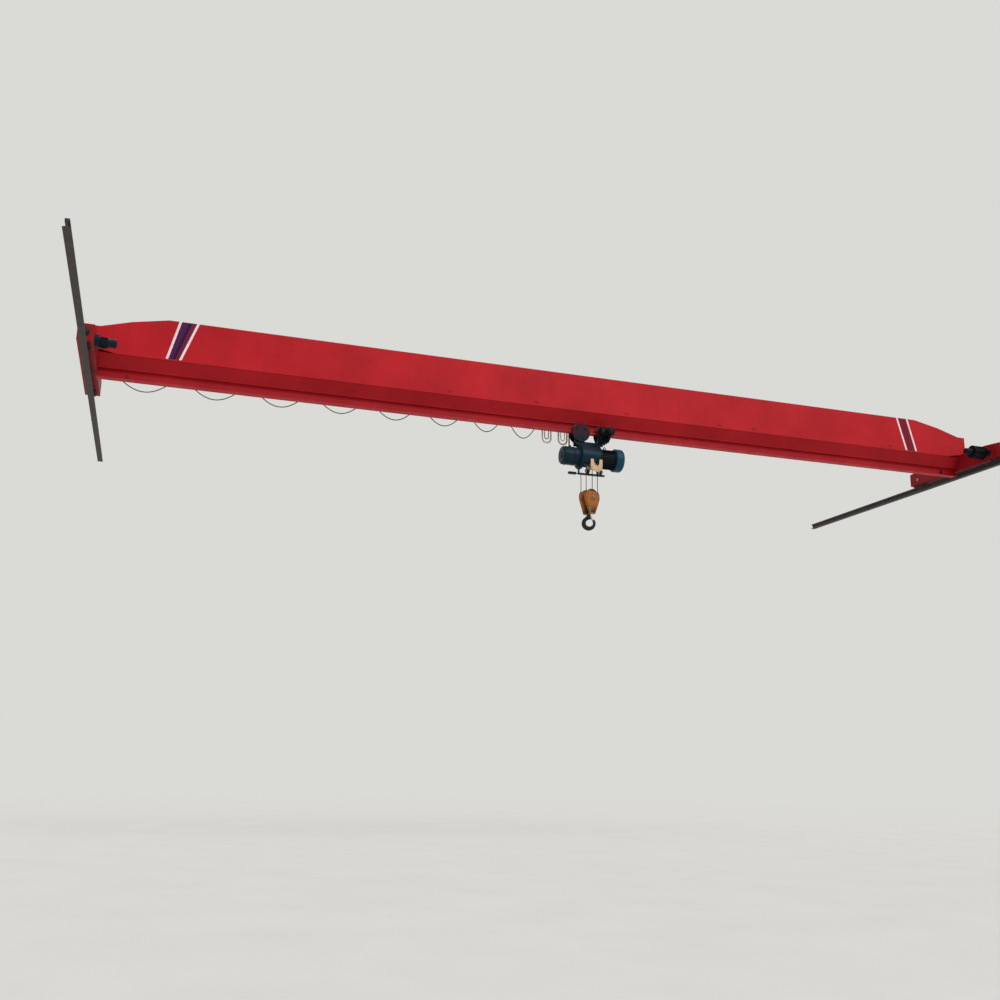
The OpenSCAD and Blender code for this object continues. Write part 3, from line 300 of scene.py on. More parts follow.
# Red oxide primer: matt brown-red, blotched with welding soot.
primer = enamel("red_oxide_primer", "6e2a26", 0.75, dirt=0.8)[0]
clad(primer, "girder_diaphragms")


# Weld beads along the two creases of the girder and where the slanted plates meet the track
# beam: fillet welds with ripples, painted over.
def clear():
    """Leaves edit mode and deselects everything"""
    if bpy.context.mode != "OBJECT":
        ops.object.mode_set(mode="OBJECT")
    ops.object.select_all(action="DESELECT")


def pick(piece):
    """Selects this piece alone"""
    clear()
    piece.select_set(True)
    bpy.context.view_layer.objects.active = piece


def merge(name, pieces):
    """Joins separate meshes to one piece"""
    clear()
    for piece in pieces:
        piece.select_set(True)
    bpy.context.view_layer.objects.active = pieces[0]
    if len(pieces) > 1:
        ops.object.join()
    pieces[0].name = name
    pieces[0].data.name = name
    return pieces[0]


def fasten(name, pieces, body, material, smooth=35):
    """Joins pieces to one, puts its place into its mesh, shades it, lets it ride on its body"""
    piece = merge(name, pieces)
    pick(piece)
    ops.object.transform_apply(location=True, rotation=True, scale=True)
    ops.object.shade_smooth_by_angle(angle=math.radians(smooth))
    piece.data.materials.clear()
    piece.data.materials.append(material)
    if body:
        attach(piece, body)
    return piece


def bead(start, end, radius):
    """One weld bead from start to end, with its ripples"""
    start, end = Vector(start), Vector(end)
    length = (end - start).length
    clear()
    ops.mesh.primitive_cylinder_add(vertices=8, radius=radius, depth=length, end_fill_type="NGON",
            location=(start + end) / 2,
            rotation=(end - start).to_track_quat("Z", "Y").to_euler())
    piece = bpy.context.object
    ops.object.mode_set(mode="EDIT")
    ops.mesh.select_mode(type="EDGE")
    ops.mesh.select_all(action="DESELECT")
    ops.object.mode_set(mode="OBJECT")
    for edge in piece.data.edges:
        a, b = (piece.data.vertices[i].co for i in edge.vertices)
        edge.select = abs(a.z - b.z) > length / 2
    ops.object.mode_set(mode="EDIT")
    ops.mesh.subdivide(number_cuts=max(3, int(length / 0.05)))
    ops.mesh.select_all(action="SELECT")
    ops.transform.vertex_random(offset=radius * 0.25, seed=7)
    clear()
    return piece


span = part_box("girder_shell")[0][0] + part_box("girder_shell")[1][0]
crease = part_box("girder_slant_plates")[1][2]
track_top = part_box("track_beam")[1][2]
track_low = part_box("track_beam")[0][2]
girder_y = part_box("girder_shell")[1][1]
beam_low, beam_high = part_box("girder_slant_plates")
flange_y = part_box("track_beam")[1][1]
beads = []
for side in (-1, 1):
    fold = side * (girder_y - 0.001)
    beads.append(bead((0.46, fold, crease), (span - 0.46, fold, crease), 0.006))
    edge = side * flange_y
    beads.append(bead((beam_low[0], edge, track_top), (beam_high[0], edge, track_top), 0.006))
    for x in (beam_low[0] - 0.006, beam_high[0] + 0.006):
        beads.append(bead((x, edge, track_low + 0.01), (x, edge, track_top), 0.005))
fasten("girder_welds", beads, "bridge", red_under_painted_shade, 60)

# Track beam: a rolled I-beam welded under the box. Its enamel is red like the rest, in a darker copy
# as painted shade; along the two strips where the trolley wheels run, the lower flange is rubbed to
# bare, streaky steel.
red_track_painted_shade, tree, shader, place, colour = enamel("red_track_enamel_painted_shade", "a8131d", 0.44, dirt=0.35)
along, outward, upward = node(tree, "SeparateXYZ", Vector=place).node.outputs
run_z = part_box("trolley_stops")[0][2]
on_top = node(tree, "Math", {"operation": "COMPARE"}, _0=upward, _1=run_z, _2=0.0008)
beam_web = 0.038
beside = node(tree, "Math", greater, _0=node(tree, "Math", absolute, _0=outward), _1=beam_web)
worn = node(tree, "Math", times, _0=node(tree, "Math", times, _0=on_top, _1=beside),
        _1=patches(tree, place, 0.03, 0.22, 0.5, (0.15, 1, 1)))
lines = patches(tree, place, 0.01, 0.3, 0.7, (0.05, 1, 1))
steel_tone = node(tree, "Mix", rgb, 2, _0=lines, _6=tint("85878a"), _7=tint("67696b"))
finish(shader, node(tree, "Mix", rgb, 2, _0=worn, _6=colour, _7=steel_tone), None, worn)
clad(red_track_painted_shade, "track_beam")
# The stops, brackets and lugs also take the darker underside copy of the red, painted shade.
clad(red_under_painted_shade, "trolley_stops", "festoon_brackets", "edge_lugs")


# Trolley stops: blocks welded beside the web, each with a screwed rubber pad on the face that
# the trolley meets.
def block(name, low, high, bevel=0.003, segments=2):
    """A box between two corners with its edges broken by bevel"""
    low, high = Vector(low), Vector(high)
    clear()
    ops.mesh.primitive_cube_add(size=1, location=(low + high) / 2, scale=high - low)
    piece = bpy.context.object
    piece.name = name
    ops.object.transform_apply(location=False, rotation=False, scale=True)
    if bevel:
        ops.object.mode_set(mode="EDIT")
        ops.mesh.select_all(action="SELECT")
        ops.mesh.bevel(offset=bevel, segments=segments, affect="EDGES")
        clear()
    return piece


# Moulded black rubber: matt, with a 2 mm grain, greyed by chalk in 50 mm clouds.
rubber = mottled("black_buffer_rubber", ("1c1c1d", "4b4a48"), (0.05, 0.4, 0.8), 0.82, 0.0, (420.0, 3.0),
        0.0006, 0.5, 0.3, 0.4)
stops_low, stops_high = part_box("trolley_stops")
pads = []
for face, way in ((stops_low[0] + 0.016, 1), (stops_high[0] - 0.016, -1)):
    for side in (-1, 1):
        y = side * 0.0375
        pads.append(block("pad", (min(face, face + way * 0.004), y - 0.026, run_z + 0.035),
                (max(face, face + way * 0.004), y + 0.026, run_z + 0.100), 0.0015, 1))
fasten("stop_pads", pads, "bridge", rubber)


# End carriages: welded boxes in the same red, one across each end of the girder, with bolted
# axle keepers, four hatches between the wheels and a rail sweep at each end.
# The same enamel close to the wheels: darker as painted shade, and dirtier with brake dust and grease.
red_carriage_painted_shade = enamel("red_carriage_enamel_painted_shade", "8a1118", 0.45, dirt=0.6)[0]
clad(red_carriage_painted_shade, "carriage_left", "carriage_right")

# Turned steel: bare metal with 5 mm tool marks and brown stains of 30 mm, so a soft shine.
machined, tree, shader, place = base("machined_steel")
swirl = node(tree, "TexNoise", Vector=place, Scale=180.0, Detail=3.0)
stain = patches(tree, place, 0.03, 0.45, 0.75)
finish(shader, node(tree, "Mix", rgb, 2, _0=stain, _6=tint("94979a"), _7=tint("6b655e")),
       node(tree, "MapRange", _0=swirl, _3=0.30, _4=0.46), 1.0, swirl, 0.0003, 0.4)
clad(machined, "wheel_axles")

# Zinc plating: pale grey metal, half dull, in 8 mm spangles.
zinc = mottled("zinc_plated_bolts", ("a9aaa6", "7f7d77"), (0.008, 0.3, 0.7), 0.42, 1.0)


def bolt_set(name, places, axis, across, head):
    """Hexagon bolt heads with washers at these places, standing along axis"""
    made = []
    turn = Vector(axis).to_track_quat("Z", "Y").to_euler()
    for spot in places:
        clear()
        if not made:
            ops.mesh.primitive_cylinder_add(vertices=6, radius=across / 1.732, depth=head)
            piece = bpy.context.object
            ops.object.mode_set(mode="EDIT")
            ops.mesh.select_all(action="SELECT")
            ops.transform.translate(value=(0, 0, head / 2 + 0.0025))
            ops.mesh.bevel(offset=head * 0.12, segments=1, affect="EDGES")
            ops.mesh.select_all(action="DESELECT")
            ops.mesh.primitive_cylinder_add(vertices=20, radius=across * 0.95, depth=0.004)
            clear()
        else:
            piece = made[0].copy()
            piece.data = made[0].data.copy()
            bpy.context.collection.objects.link(piece)
        piece.location = spot
        piece.rotation_euler = turn
        made.append(piece)
    return merge(name, made)


def thread(name, spots):
    """A line of vertices through these places, left in edit mode"""
    clear()
    ops.mesh.primitive_plane_add(size=0.001, location=spots[0])
    piece = bpy.context.object
    piece.name = name
    ops.object.mode_set(mode="EDIT")
    ops.mesh.select_mode(type="VERT")
    ops.mesh.select_all(action="SELECT")
    ops.mesh.merge(type="CENTER")
    for before, after in zip(spots, spots[1:]):
        step = Vector(after) - Vector(before)
        ops.mesh.extrude_vertices_move(TRANSFORM_OT_translate={"value": step})
    return piece


def lathe(name, profile, centre, axis="X", steps=64):
    """A turned piece: its profile, as (distance along the axis, radius), spun round the axis"""
    along = {"X": Vector((1, 0, 0)), "Y": Vector((0, 1, 0)), "Z": Vector((0, 0, 1))}[axis]
    out = {"X": Vector((0, 0, 1)), "Y": Vector((0, 0, 1)), "Z": Vector((1, 0, 0))}[axis]
    centre = Vector(centre)
    if profile[0][1] > 0 and profile[0] != profile[-1]:
        profile = profile + [profile[0]]
    piece = thread(name, [centre + along * a + out * r for a, r in profile])
    ops.mesh.select_all(action="SELECT")
    ops.mesh.spin(steps=steps, angle=math.tau, center=centre, axis=along)
    ops.mesh.select_all(action="SELECT")
    ops.mesh.remove_doubles(threshold=0.00002)
    ops.mesh.normals_make_consistent(inside=False)
    clear()
    return piece


def hoop(name, start, end, inner, outer, centre, axis, steps):
    """A ring of square section between two distances along the axis and two radii"""
    return lathe(name, [(start, inner), (start, outer), (end, outer), (end, inner)], centre, axis, steps)


def mid(name):
    """The middle of a CAD node's box"""
    low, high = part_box(name)
    return [(a + b) / 2 for a, b in zip(low, high)]


def ring_of(count, x, y, z, radius, start=0.0):
    """Places on a circle round a line along X"""
    turns = [start + math.tau * k / count for k in range(count)]
    return [(x, y + radius * math.cos(a), z + radius * math.sin(a)) for a in turns]


wheel_y, axle_z = mid("wheel_left_rear")[1:]
carriage_low, carriage_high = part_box("carriage_left")
keepers, hatches, bolts = [], [], {-1: [], 1: []}
for x, side in ((carriage_low[0], -1), (span - carriage_low[0], 1)):
    for y in (-wheel_y, wheel_y):
        collar = [(0.003, 0.0355), (0.0115, 0.0355), (0.0115, 0.050), (0.009, 0.054), (0.003, 0.054)]
        keepers.append(lathe("collar", [(side * a, r) for a, r in collar], (x, y, axle_z), "X", 40))
        keepers.append(lathe("flange", [(0.0, 0.085), (side * 0.003, 0.085), (side * 0.004, 0.082),
                (side * 0.004, 0.0355)], (x, y, axle_z), "X", 48))
        bolts[side] += ring_of(6, x + side * 0.004, y, axle_z, 0.070, 0.3)
    for y in (-0.72, -0.24, 0.24, 0.72):
        face = x + side * 0.004
        hatches.append(block("hatch", (min(x, face), y - 0.17, 0.225),
                (max(x, face), y + 0.17, 0.425), 0.002, 1))
        for dy in (-0.15, 0.15):
            for z in (0.245, 0.405):
                bolts[side].append((face, y + dy, z))
fasten("axle_keepers", keepers, "bridge", red_carriage_painted_shade)
fasten("hatch_plates", hatches, "bridge", red_carriage_painted_shade)
heads = [bolt_set("heads", bolts[side], (side, 0, 0), 0.019, 0.0052) for side in (-1, 1)]
fasten("carriage_bolts", heads, "bridge", zinc)

end_y = carriage_high[1]
sweeps = []
for x in (0.0, span):
    for s in (-1, 1):
        sweeps.append(block("sweep", (x - 0.055, s * (end_y + 0.006) - 0.006, 0.139),
                (x + 0.055, s * (end_y + 0.006) + 0.006, carriage_low[2] + 0.06), 0.002, 1))
fasten("rail_sweeps", sweeps, "bridge", red_carriage_painted_shade)

# Buffers: moulded rubber plugs with a waist, each pressed into a round steel cup on the end of a
# carriage. They have the same matt rubber as the stops' pads.
buffer_z = mid("buffers_left")[2]
plug = [(0, 0), (0, 0.07), (0.010, 0.07), (0.012, 0.066), (0.012, 0.056), (0.030, 0.052), (0.045, 0.049),
        (0.060, 0.052), (0.075, 0.0545), (0.090, 0.052), (0.098, 0.044), (0.0999, 0.030), (0.0999, 0)]
for name, x in (("buffers_left", 0.0), ("buffers_right", span)):
    plugs = []
    for s in (-1, 1):
        plugs.append(lathe("plug", [(s * a, r) for a, r in plug], (x, s * end_y, buffer_z), "Y", 48))
    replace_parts(fasten("rubber_" + name, plugs, "bridge", rubber), name)

# Bridge wheels, trolley wheels and sheaves: cast steel on short axles. Casting skin and grease
# leave them dark and half metallic, with 4 mm pits.
cast_wheel = mottled("cast_steel_wheel", ("3a3b3e", "52463d"), (0.06, 0.35, 0.7), 0.58, 0.55, (240.0, 4.0),
        0.0008, 0.6)
clad(cast_wheel, "wheel_left_front", "wheel_left_rear", "wheel_right_front", "wheel_right_rear")
clad(cast_wheel, "rollers_1", "rollers_2", "rollers_3", "rollers_4", "sheave_near", "sheave_far")

# Travel drives: on each carriage a flat cast gear case with a ribbed motor and a round brake cap,
# lying along the girder; the left drive is navy, the right one a black motor on a red case.
# Machine enamel on castings, navy and black: half-glossy, with oily dirt in the ribs.
navy = enamel("navy_hammer_enamel", "121d2b", 0.38, dirt=0.6)[0]
black_paint = enamel("black_machine_enamel", "111315", 0.42, dirt=0.5)[0]
clad(navy, "drive_motor_left")
# The gear cases' enamel: navy at the left end, the carriage's red at the right end.
two_paints, tree, shader, place, colour = enamel("gear_case_enamel", "121d2b", 0.38, dirt=0.6)
along = node(tree, "SeparateXYZ", Vector=place)
mid_span = 10.0
right_end = node(tree, "Math", greater, _0=along, _1=mid_span)
# Its right end takes the carriages' darker red, which is painted shade.
finish(shader, node(tree, "Mix", rgb, 2, _0=right_end, _6=colour, _7=tint("8a1118")))
clad(two_paints, "drive_gears")
clad(black_paint, "drive_motor_right")
motor_y, motor_z = mid("drive_motor_left")[1:]
case_bolts, lids, glands, grilles = [], [], [], []
drives = ((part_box("drive_motor_left")[0][0], 1, 0.102, 0.080, 0.150, 0.300),
        (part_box("drive_motor_right")[1][0], -1, 0.150, 0.068, 0.310, 0.510))
for face, way, motor_r, cap_r, body_len, full_len in drives:
    rim = ring_of(8, face, -wheel_y, axle_z, 0.100, 0.2)
    case_bolts.append(bolt_set("bolts", rim, (way, 0, 0), 0.017, 0.009))
    lid = [(0, 0), (0, 0.070), (0.007, 0.070), (0.010, 0.066), (0.010, 0.030), (0.016, 0.026), (0.016, 0)]
    lids.append(lathe("lid", [(way * a, r) for a, r in lid], (face, -wheel_y, axle_z), "X", 40))
    box_x = face + way * body_len * 0.45
    back = motor_y + motor_r
    lids.append(block("terminal box", (box_x - 0.050, back - 0.016, motor_z - 0.045),
            (box_x + 0.050, back + 0.034, motor_z + 0.045), 0.004))
    lids.append(block("box lid", (box_x - 0.054, back + 0.034, motor_z - 0.049),
            (box_x + 0.054, back + 0.042, motor_z + 0.049), 0.002, 1))
    glands.append(lathe("gland", [(0, 0), (0, 0.014), (-0.016, 0.014), (-0.018, 0.011),
            (-0.030, 0.011), (-0.032, 0.0)],
            (box_x, back + 0.010, motor_z - 0.045), "Z", 24))
    for k in range(3):
        start = full_len - 0.030 - 0.022 * k
        grilles.append(hoop("ring", way * start, way * (start - 0.010), cap_r - 0.002, cap_r + 0.0035,
                (face, motor_y, motor_z), "X", 56))
for name, bolts, paint, slot_name in (("left", case_bolts[0], navy, "navy_paint"),
        ("right", case_bolts[1], red_carriage_painted_shade, "red_paint")):
    fasten("drive_case_bolts_" + name, [bolts], "bridge", paint)
fasten("drive_lids", lids, "bridge", navy)
fasten("drive_cap_rings", grilles, "bridge", navy)
# Moulded nylon: black, dull and smooth.
nylon = mottled("black_nylon", ("17181a", "232426"), (0.02, 0.3, 0.7), 0.55, 0.0, (300.0, 2.0), shine=0.3)
fasten("drive_glands", glands, "bridge", nylon)

# Festoon wire: a drawn steel wire along the far side, drawn tight by an eye bolt with two nuts
# at each bracket.
clad(machined, "festoon_wire")
wire_low, wire_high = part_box("festoon_wire")
wire_y, wire_z = mid("festoon_wire")[1:]
nuts = []
for x, way in ((wire_low[0], 1), (wire_high[0], -1)):
    nuts.append(bolt_set("nuts", [(x, wire_y, wire_z)], (way, 0, 0), 0.024, 0.018))
    nuts.append(bolt_set("nuts", [(x - way * 0.020, wire_y, wire_z)], (-way, 0, 0), 0.024, 0.012))
    nuts.append(lathe("sleeve", [(way * 0.020, 0.0045), (way * 0.020, 0.009), (way * 0.075, 0.009),
            (way * 0.078, 0.0045)], (x, wire_y, wire_z), "X", 20))
fasten("wire_nuts", nuts, "bridge", zinc)

# Festoon carriers: each a grooved nylon wheel on the wire between two bent straps with a cable
# clamp below. The cable hangs in loops from them.
# Galvanized strap: dull grey metal, its zinc crystals about 11 mm across.
grey_strap, tree, shader, place = base("galvanized_strap")
flakes = node(tree, "TexVoronoi", Vector=place, Scale=90.0)
finish(shader, node(tree, "Mix", rgb, 2, _0=flakes, _6=tint("8f9192"), _7=tint("a7a9a9")), 0.5, 1.0, flakes,
       0.0002, 0.3)
# Rubber flex: matt brown-black with a fine grain, dusty in 80 mm clouds.
cable_rubber = mottled("brown_cable_rubber", ("241a18", "3a2c27"), (0.08, 0.35, 0.75), 0.62, 0.0,
        (200.0, 2.0), 0.0004, 0.4, 0.3)
# Woven cream sheath: matt and pale with a 6 mm weave, soiled in 70 mm clouds.
cream_sheath = mottled("cream_cable_sheath", ("e6d6c0", "bfa88f"), (0.07, 0.35, 0.75), 0.6, 0.0,
        (160.0, 2.0), 0.0006, 0.4, 0.3)


def tube(name, spots, radius, sides=3):
    """A round cable through these places"""
    piece = thread(name, spots)
    pick(piece)
    ops.object.convert(target="CURVE")
    piece.data.bevel_depth = radius
    piece.data.bevel_resolution = sides
    piece.data.use_fill_caps = True
    ops.object.convert(target="MESH")
    return piece


def share_at(x, place_in_row):
    """How far along the trolley's way a carrier goes with it, as the turn of a smooth step"""
    wanted = min(1, max(0, (x - (0.205 + 0.0298 * place_in_row)) / 8.88))
    low, high = 0.0, 1.0
    for step in range(40):
        middle = (low + high) / 2
        low, high = (middle, high) if middle * middle * (3 - 2 * middle) < wanted else (low, middle)
    return (low + high) / 2


cable_z = wire_z - 0.060
carrier_x = [0.320, 1.649, 2.925, 4.141, 5.296, 6.381, 7.371, 8.214, 9.004, 9.049, 9.241]
loop_sag = [0.420, 0.416, 0.410, 0.400, 0.407, 0.413, 0.434, 0.484]
turns = [share_at(x, i) for i, x in enumerate(carrier_x)]
cable_r, thick_cable_r = 0.009, 0.017
# A carrier's share is the same at all its points: the blend is far longer than the carrier.
long_way = 100.0
for i, x in enumerate(carrier_x):
    hub = (x, wire_y, wire_z + 0.0115)
    parts = [lathe("wheel", [(-0.007, 0), (-0.007, 0.0085), (-0.005, 0.0085), (0, 0.0070), (0.005, 0.0085),
            (0.007, 0.0085), (0.007, 0)], hub, "Y", 24)]
    for y in (wire_y - 0.010, wire_y + 0.010):
        parts.append(block("strap", (x - 0.011, y - 0.001, cable_z + 0.011),
                (x + 0.011, y + 0.001, wire_z + 0.019), 0.0006, 1))
    parts.append(block("clamp", (x - 0.0135, wire_y - 0.0135, cable_z - 0.011),
            (x + 0.0135, wire_y + 0.0135, cable_z + 0.014), 0.003))
    parts.append(lathe("pin", [(-0.014, 0), (-0.014, 0.003), (0.014, 0.003), (0.014, 0)], hub, "Y", 12))
    carrier = fasten(f"festoon_carrier_{i + 1}", parts, None, grey_strap)
    start = wire_y - turns[i] * long_way
    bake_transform(carrier)
    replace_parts(carrier, "festoon_carriers")
link_sag = 0.012
for a, sag in enumerate(loop_sag + [link_sag]):
    b = a + 1
    x0, x1 = carrier_x[a], carrier_x[b]
    count = 28 if b < 9 else 5
    spots = []
    for k in range(count + 1):
        drop = 4 * sag * (k / count) * (1 - k / count) * (1 - 0.18 * (2 * k / count - 1) ** 2)
        spots.append((x0 + (x1 - x0) * k / count, wire_y, cable_z - drop))
    cable = [tube("cable", spots, cable_r)]
    loop = fasten(f"festoon_loop_{a + 1}", cable, None, cable_rubber, 80)
    reach = (x1 - x0) / max(0.0001, turns[b] - turns[a])
    start = x0 - turns[a] * reach
    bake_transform(loop)
    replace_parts(loop, "festoon_cable")


def gathered(x, half, leg, radius, top, name):
    """A gathered loop: two legs down and a half round below"""
    down = [(x - half, wire_y, top - leg * k / 8) for k in range(9)]
    bow = [(x - half * math.cos(math.pi * k / 14), wire_y, top - leg - half * math.sin(math.pi * k / 14))
           for k in range(1, 14)]
    up = [(x + half, wire_y, top - leg + leg * k / 8) for k in range(9)]
    return tube(name, down + bow + up, radius)


half = (carrier_x[10] - carrier_x[9]) / 2
middle = (carrier_x[10] + carrier_x[9]) / 2
gathered_wide = gathered(middle, half, 0.430, thick_cable_r, cable_z, "wide")
gathered_thin = gathered(middle, 0.042, 0.400, cable_r, cable_z, "thin")
bar = block("bar", (middle - half, wire_y - 0.012, cable_z + 0.006),
        (middle + half, wire_y + 0.012, cable_z + 0.014), 0.002)
reach = 2 * half / (turns[10] - turns[9])
start = carrier_x[9] - turns[9] * reach
for piece, material, slot_name in ((gathered_wide, cream_sheath, "cream_paint"),
        (gathered_thin, cable_rubber, "cable_rubber"),
        (bar, grey_strap, "bare_steel")):
    fasten("gathered_" + piece.name.split(".")[0], [piece], None, material, 80)
    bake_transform(piece)
    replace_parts(piece, "festoon_cable")

# Cable bundle: on the trolley the cables come down in cream sheaths, held beside the tow arm
# and tied with black nylon ties about every 130 mm.
clad(cream_sheath, "festoon_bunch")
bunch_x = 9.510
drop_x = 9.658
ties = []
inner, outer = thick_cable_r - 0.002, thick_cable_r + 0.002
for x, lowest in ((bunch_x - 0.096, 3), (bunch_x + 0.096, 3), (drop_x, 5)):
    for z in (0.30, 0.17, 0.04, -0.09, -0.22)[:lowest]:
        ties.append(hoop("tie", -0.005, 0.005, inner, outer, (x, wire_y, z), "Z", 24))
fasten("cable_ties", ties, "trolley", nylon)

# Trolley frames: 12 mm flame-cut side plates in navy, round on the left frame, held apart by tie
# rods; every roller turns on a short axle with a washer and nut outside the plate.
# Hoist enamel: a deep blue-green, glossier than the rest and nearly free of dust.
hoist_navy = enamel("hoist_navy_enamel", "06222f", 0.34, dirt=0.5, settle=0.12)[0]
# Frame enamel: navy, with a painted reflection of the red girder in patches on the plates' upper 160 mm.
frame_navy, tree, shader, place, colour = enamel("trolley_frame_enamel", "0f1828", 0.38, settle=0.12)
painted_red_reflection = node(tree, "SeparateXYZ", None, 2, Vector=place)
painted_red_reflection = node(tree, "MapRange", _0=painted_red_reflection, _1=-0.08, _2=0.08, _4=0.95)
painted_red_reflection = node(tree, "Math", times, _0=painted_red_reflection, _1=patches(tree, place, 0.12, 0.1, 0.5))
finish(shader, node(tree, "Mix", rgb, 2, _0=painted_red_reflection, _6=colour, _7=tint("380d17")))
clad(frame_navy, "trolley_frame_left", "trolley_frame_right")
clad(hoist_navy, "tow_arm")
clad(black_paint, "trolley_gear", "trolley_motor")
plate_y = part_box("trolley_frame_left")[1][1]
roller_z = mid("rollers_1")[2]
hoist_x = mid("rope_falls")[0]
hubs = []
for name in ("rollers_1", "rollers_2", "rollers_3", "rollers_4"):
    low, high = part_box(name)
    x = (low[0] + high[0]) / 2
    sides = (1,) if name in ("rollers_3", "rollers_4") else (-1, 1)
    ends = []
    for side in sides:
        ends.append(bolt_set("nuts", [(x, side * high[1], roller_z)], (0, side, 0), 0.030, 0.014))
        hubs.append(lathe("washer", [(0, 0.020), (0, 0.032), (side * 0.004, 0.032), (side * 0.005, 0.030),
                (side * 0.005, 0.020), (0, 0.020)], (x, side * plate_y, roller_z), "Y", 32))
    fasten("axle_nuts_" + name, ends, name, hoist_navy)
nuts = []
rod_z = track_low - 0.120
for x in (hoist_x - 0.220, hoist_x + 0.300):
    for dx in (-0.060, 0.060):
        for side in (-1, 1):
            nuts.append(bolt_set("nuts", [(x + dx, side * plate_y, rod_z)], (0, side, 0), 0.032, 0.016))
fasten("trolley_nuts", nuts, "trolley", hoist_navy)
fasten("trolley_washers", hubs, "trolley", hoist_navy)

gear_low, gear_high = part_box("trolley_gear")
spots = [(x, gear_low[1], z) for x in (gear_low[0] + 0.018, gear_high[0] - 0.018)
        for z in (gear_low[2] + 0.018, (gear_low[2] + gear_high[2]) / 2, gear_high[2] - 0.018)]
gear_bolts = [bolt_set("bolts", spots, (0, -1, 0), 0.017, 0.009)]
fasten("trolley_gear_bolts", gear_bolts, "trolley", black_paint)
low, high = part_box("trolley_motor")
x, z = (low[0] + high[0]) / 2, (low[2] + high[2]) / 2
parts = [block("terminal box", (x - 0.165, -0.400, z - 0.040), (x - 0.080, -0.300, z + 0.040), 0.004),
        block("lid", (x - 0.172, -0.405, z - 0.045), (x - 0.165, -0.295, z + 0.045), 0.002, 1)]
for k in range(3):
    y = low[1] + 0.022 + 0.016 * k
    parts.append(hoop("ring", y, y + 0.008, 0.074, 0.0795, (x, 0, z), "Y", 48))
fasten("trolley_motor_box", parts, "trolley", black_paint)

# Hoist frame: a channel folded from plate over the drum, hung from both trolley frames by two
# lugs with a bolt through each.
clad(hoist_navy, "hoist_frame", "hoist_gear_case", "hoist_gear_cap", "drum_housing")
spots = [(hoist_x + dx, -0.0751, -0.200) for dx in (-0.290, -0.155, 0.10, 0.235)]
frame_bolts = [bolt_set("bolts", spots, (0, -1, 0), 0.024, 0.013),
        bolt_set("bolts", [(x, -y, z) for x, y, z in spots], (0, 1, 0), 0.024, 0.013)]
fasten("hoist_frame_bolts", frame_bolts, "trolley", hoist_navy)

# Hoist gear: a domed cast cap over the end gears, on a thick round plate. Bolts all round the
# flange, an oil filler above, a boss in the middle and two ribs round it.
plate_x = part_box("hoist_gear_case")[0][0]
drum_z = mid("hoist_gear_case")[2]
cap_low, cap_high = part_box("hoist_gear_cap")
flange_x = cap_high[0] - 0.030
rim = bolt_set("rim", ring_of(16, flange_x, 0, drum_z, 0.204, 0.1), (-1, 0, 0), 0.016, 0.009)
plate = bolt_set("plate", ring_of(12, plate_x, 0, drum_z, 0.236, 0.26), (-1, 0, 0), 0.020, 0.011)
tail_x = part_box("drum_housing")[1][0]
tail = bolt_set("tail", ring_of(12, tail_x, 0, drum_z, 0.238, 0.26), (1, 0, 0), 0.018, 0.010)
fasten("gear_cap_bolts", [rim, plate, tail], "trolley", hoist_navy)
parts = [lathe("boss", [(0, 0), (0, 0.075), (-0.010, 0.070), (-0.010, 0.052), (-0.016, 0.048), (-0.016, 0)],
        (cap_low[0], 0, drum_z), "X", 48),
        lathe("filler", [(0.185, 0), (0.185, 0.030), (0.215, 0.030), (0.215, 0.022), (0.232, 0.022),
        (0.236, 0.016), (0.236, 0)], (cap_low[0] + 0.20, 0, drum_z), "Z", 28)]
for a in (0.62, math.pi - 0.62):
    parts.append(hoop("rib", -0.006, 0.006, 0.190, 0.201,
            (cap_low[0] + 0.09 + 0.17 * (a < 1), 0, drum_z), "X", 72))
fasten("gear_cap_trim", parts, "trolley", hoist_navy)

# Drum: a turned steel cylinder in bearings at both ends, wound with greased wire rope; the forked
# cream guide, held by five bolts, lays the rope and comes out of the housing below.
# Greased wire rope: dark strands about 10 mm apart, with thin glints of metal between grease.
steel_rope, tree, shader, place = base("greased_wire_rope")
bands = {"wave_type": "BANDS", "bands_direction": "DIAGONAL"}
lay = node(tree, "TexWave", bands, 1, Vector=place, Scale=60.0, Distortion=0.0)
greasy = patches(tree, place, 0.05, 0.3, 0.7)
tone = node(tree, "Mix", rgb, 2, _0=greasy, _6=tint("2e2b29"), _7=tint("171514"))
finish(shader, tone, 0.5, 0.4, lay, 0.002, 0.8)
clad(machined, "hoist_drum")
clad(steel_rope, "rope_leads")
drum_r = 0.150
rope_r = 0.0075
wrap_pitch = 0.016
groups = []
for x0, count in ((hoist_x - 0.165, 9), (hoist_x + 0.035, 7)):
    length = count * wrap_pitch
    spots = [(x0 + length * k / (count * 20), (drum_r + rope_r) * math.sin(math.tau * k / 20),
            drum_z - (drum_r + rope_r) * math.cos(math.tau * k / 20)) for k in range(count * 20 + 1)]
    groups.append(tube("wraps", spots, 0.0074, 1))
fasten("rope_wraps", groups, "drum", steel_rope, 80)
# Cream and pale grey enamel: half-matt, dirtied by rope grease.
cream_paint = enamel("cream_enamel", "c9a888", 0.5, dirt=0.7)[0]
clad(cream_paint, "rope_guide")
pale_grey = enamel("grey_pulley_enamel", "a9a6a0", 0.5, dirt=0.7)[0]
clad(pale_grey, "pulley_left", "pulley_right")
low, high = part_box("rope_guide")
spots = [(hoist_x + 0.060 + dx, low[1], low[2] + dz)
        for dx, dz in ((-0.100, 0.110), (0.100, 0.110), (-0.075, 0.050), (0.075, 0.050), (0, 0.024))]
guide_bolts = [bolt_set("bolts", spots, (0, -1, 0), 0.016, 0.009)]
fasten("rope_guide_bolts", guide_bolts, "trolley", cream_paint)

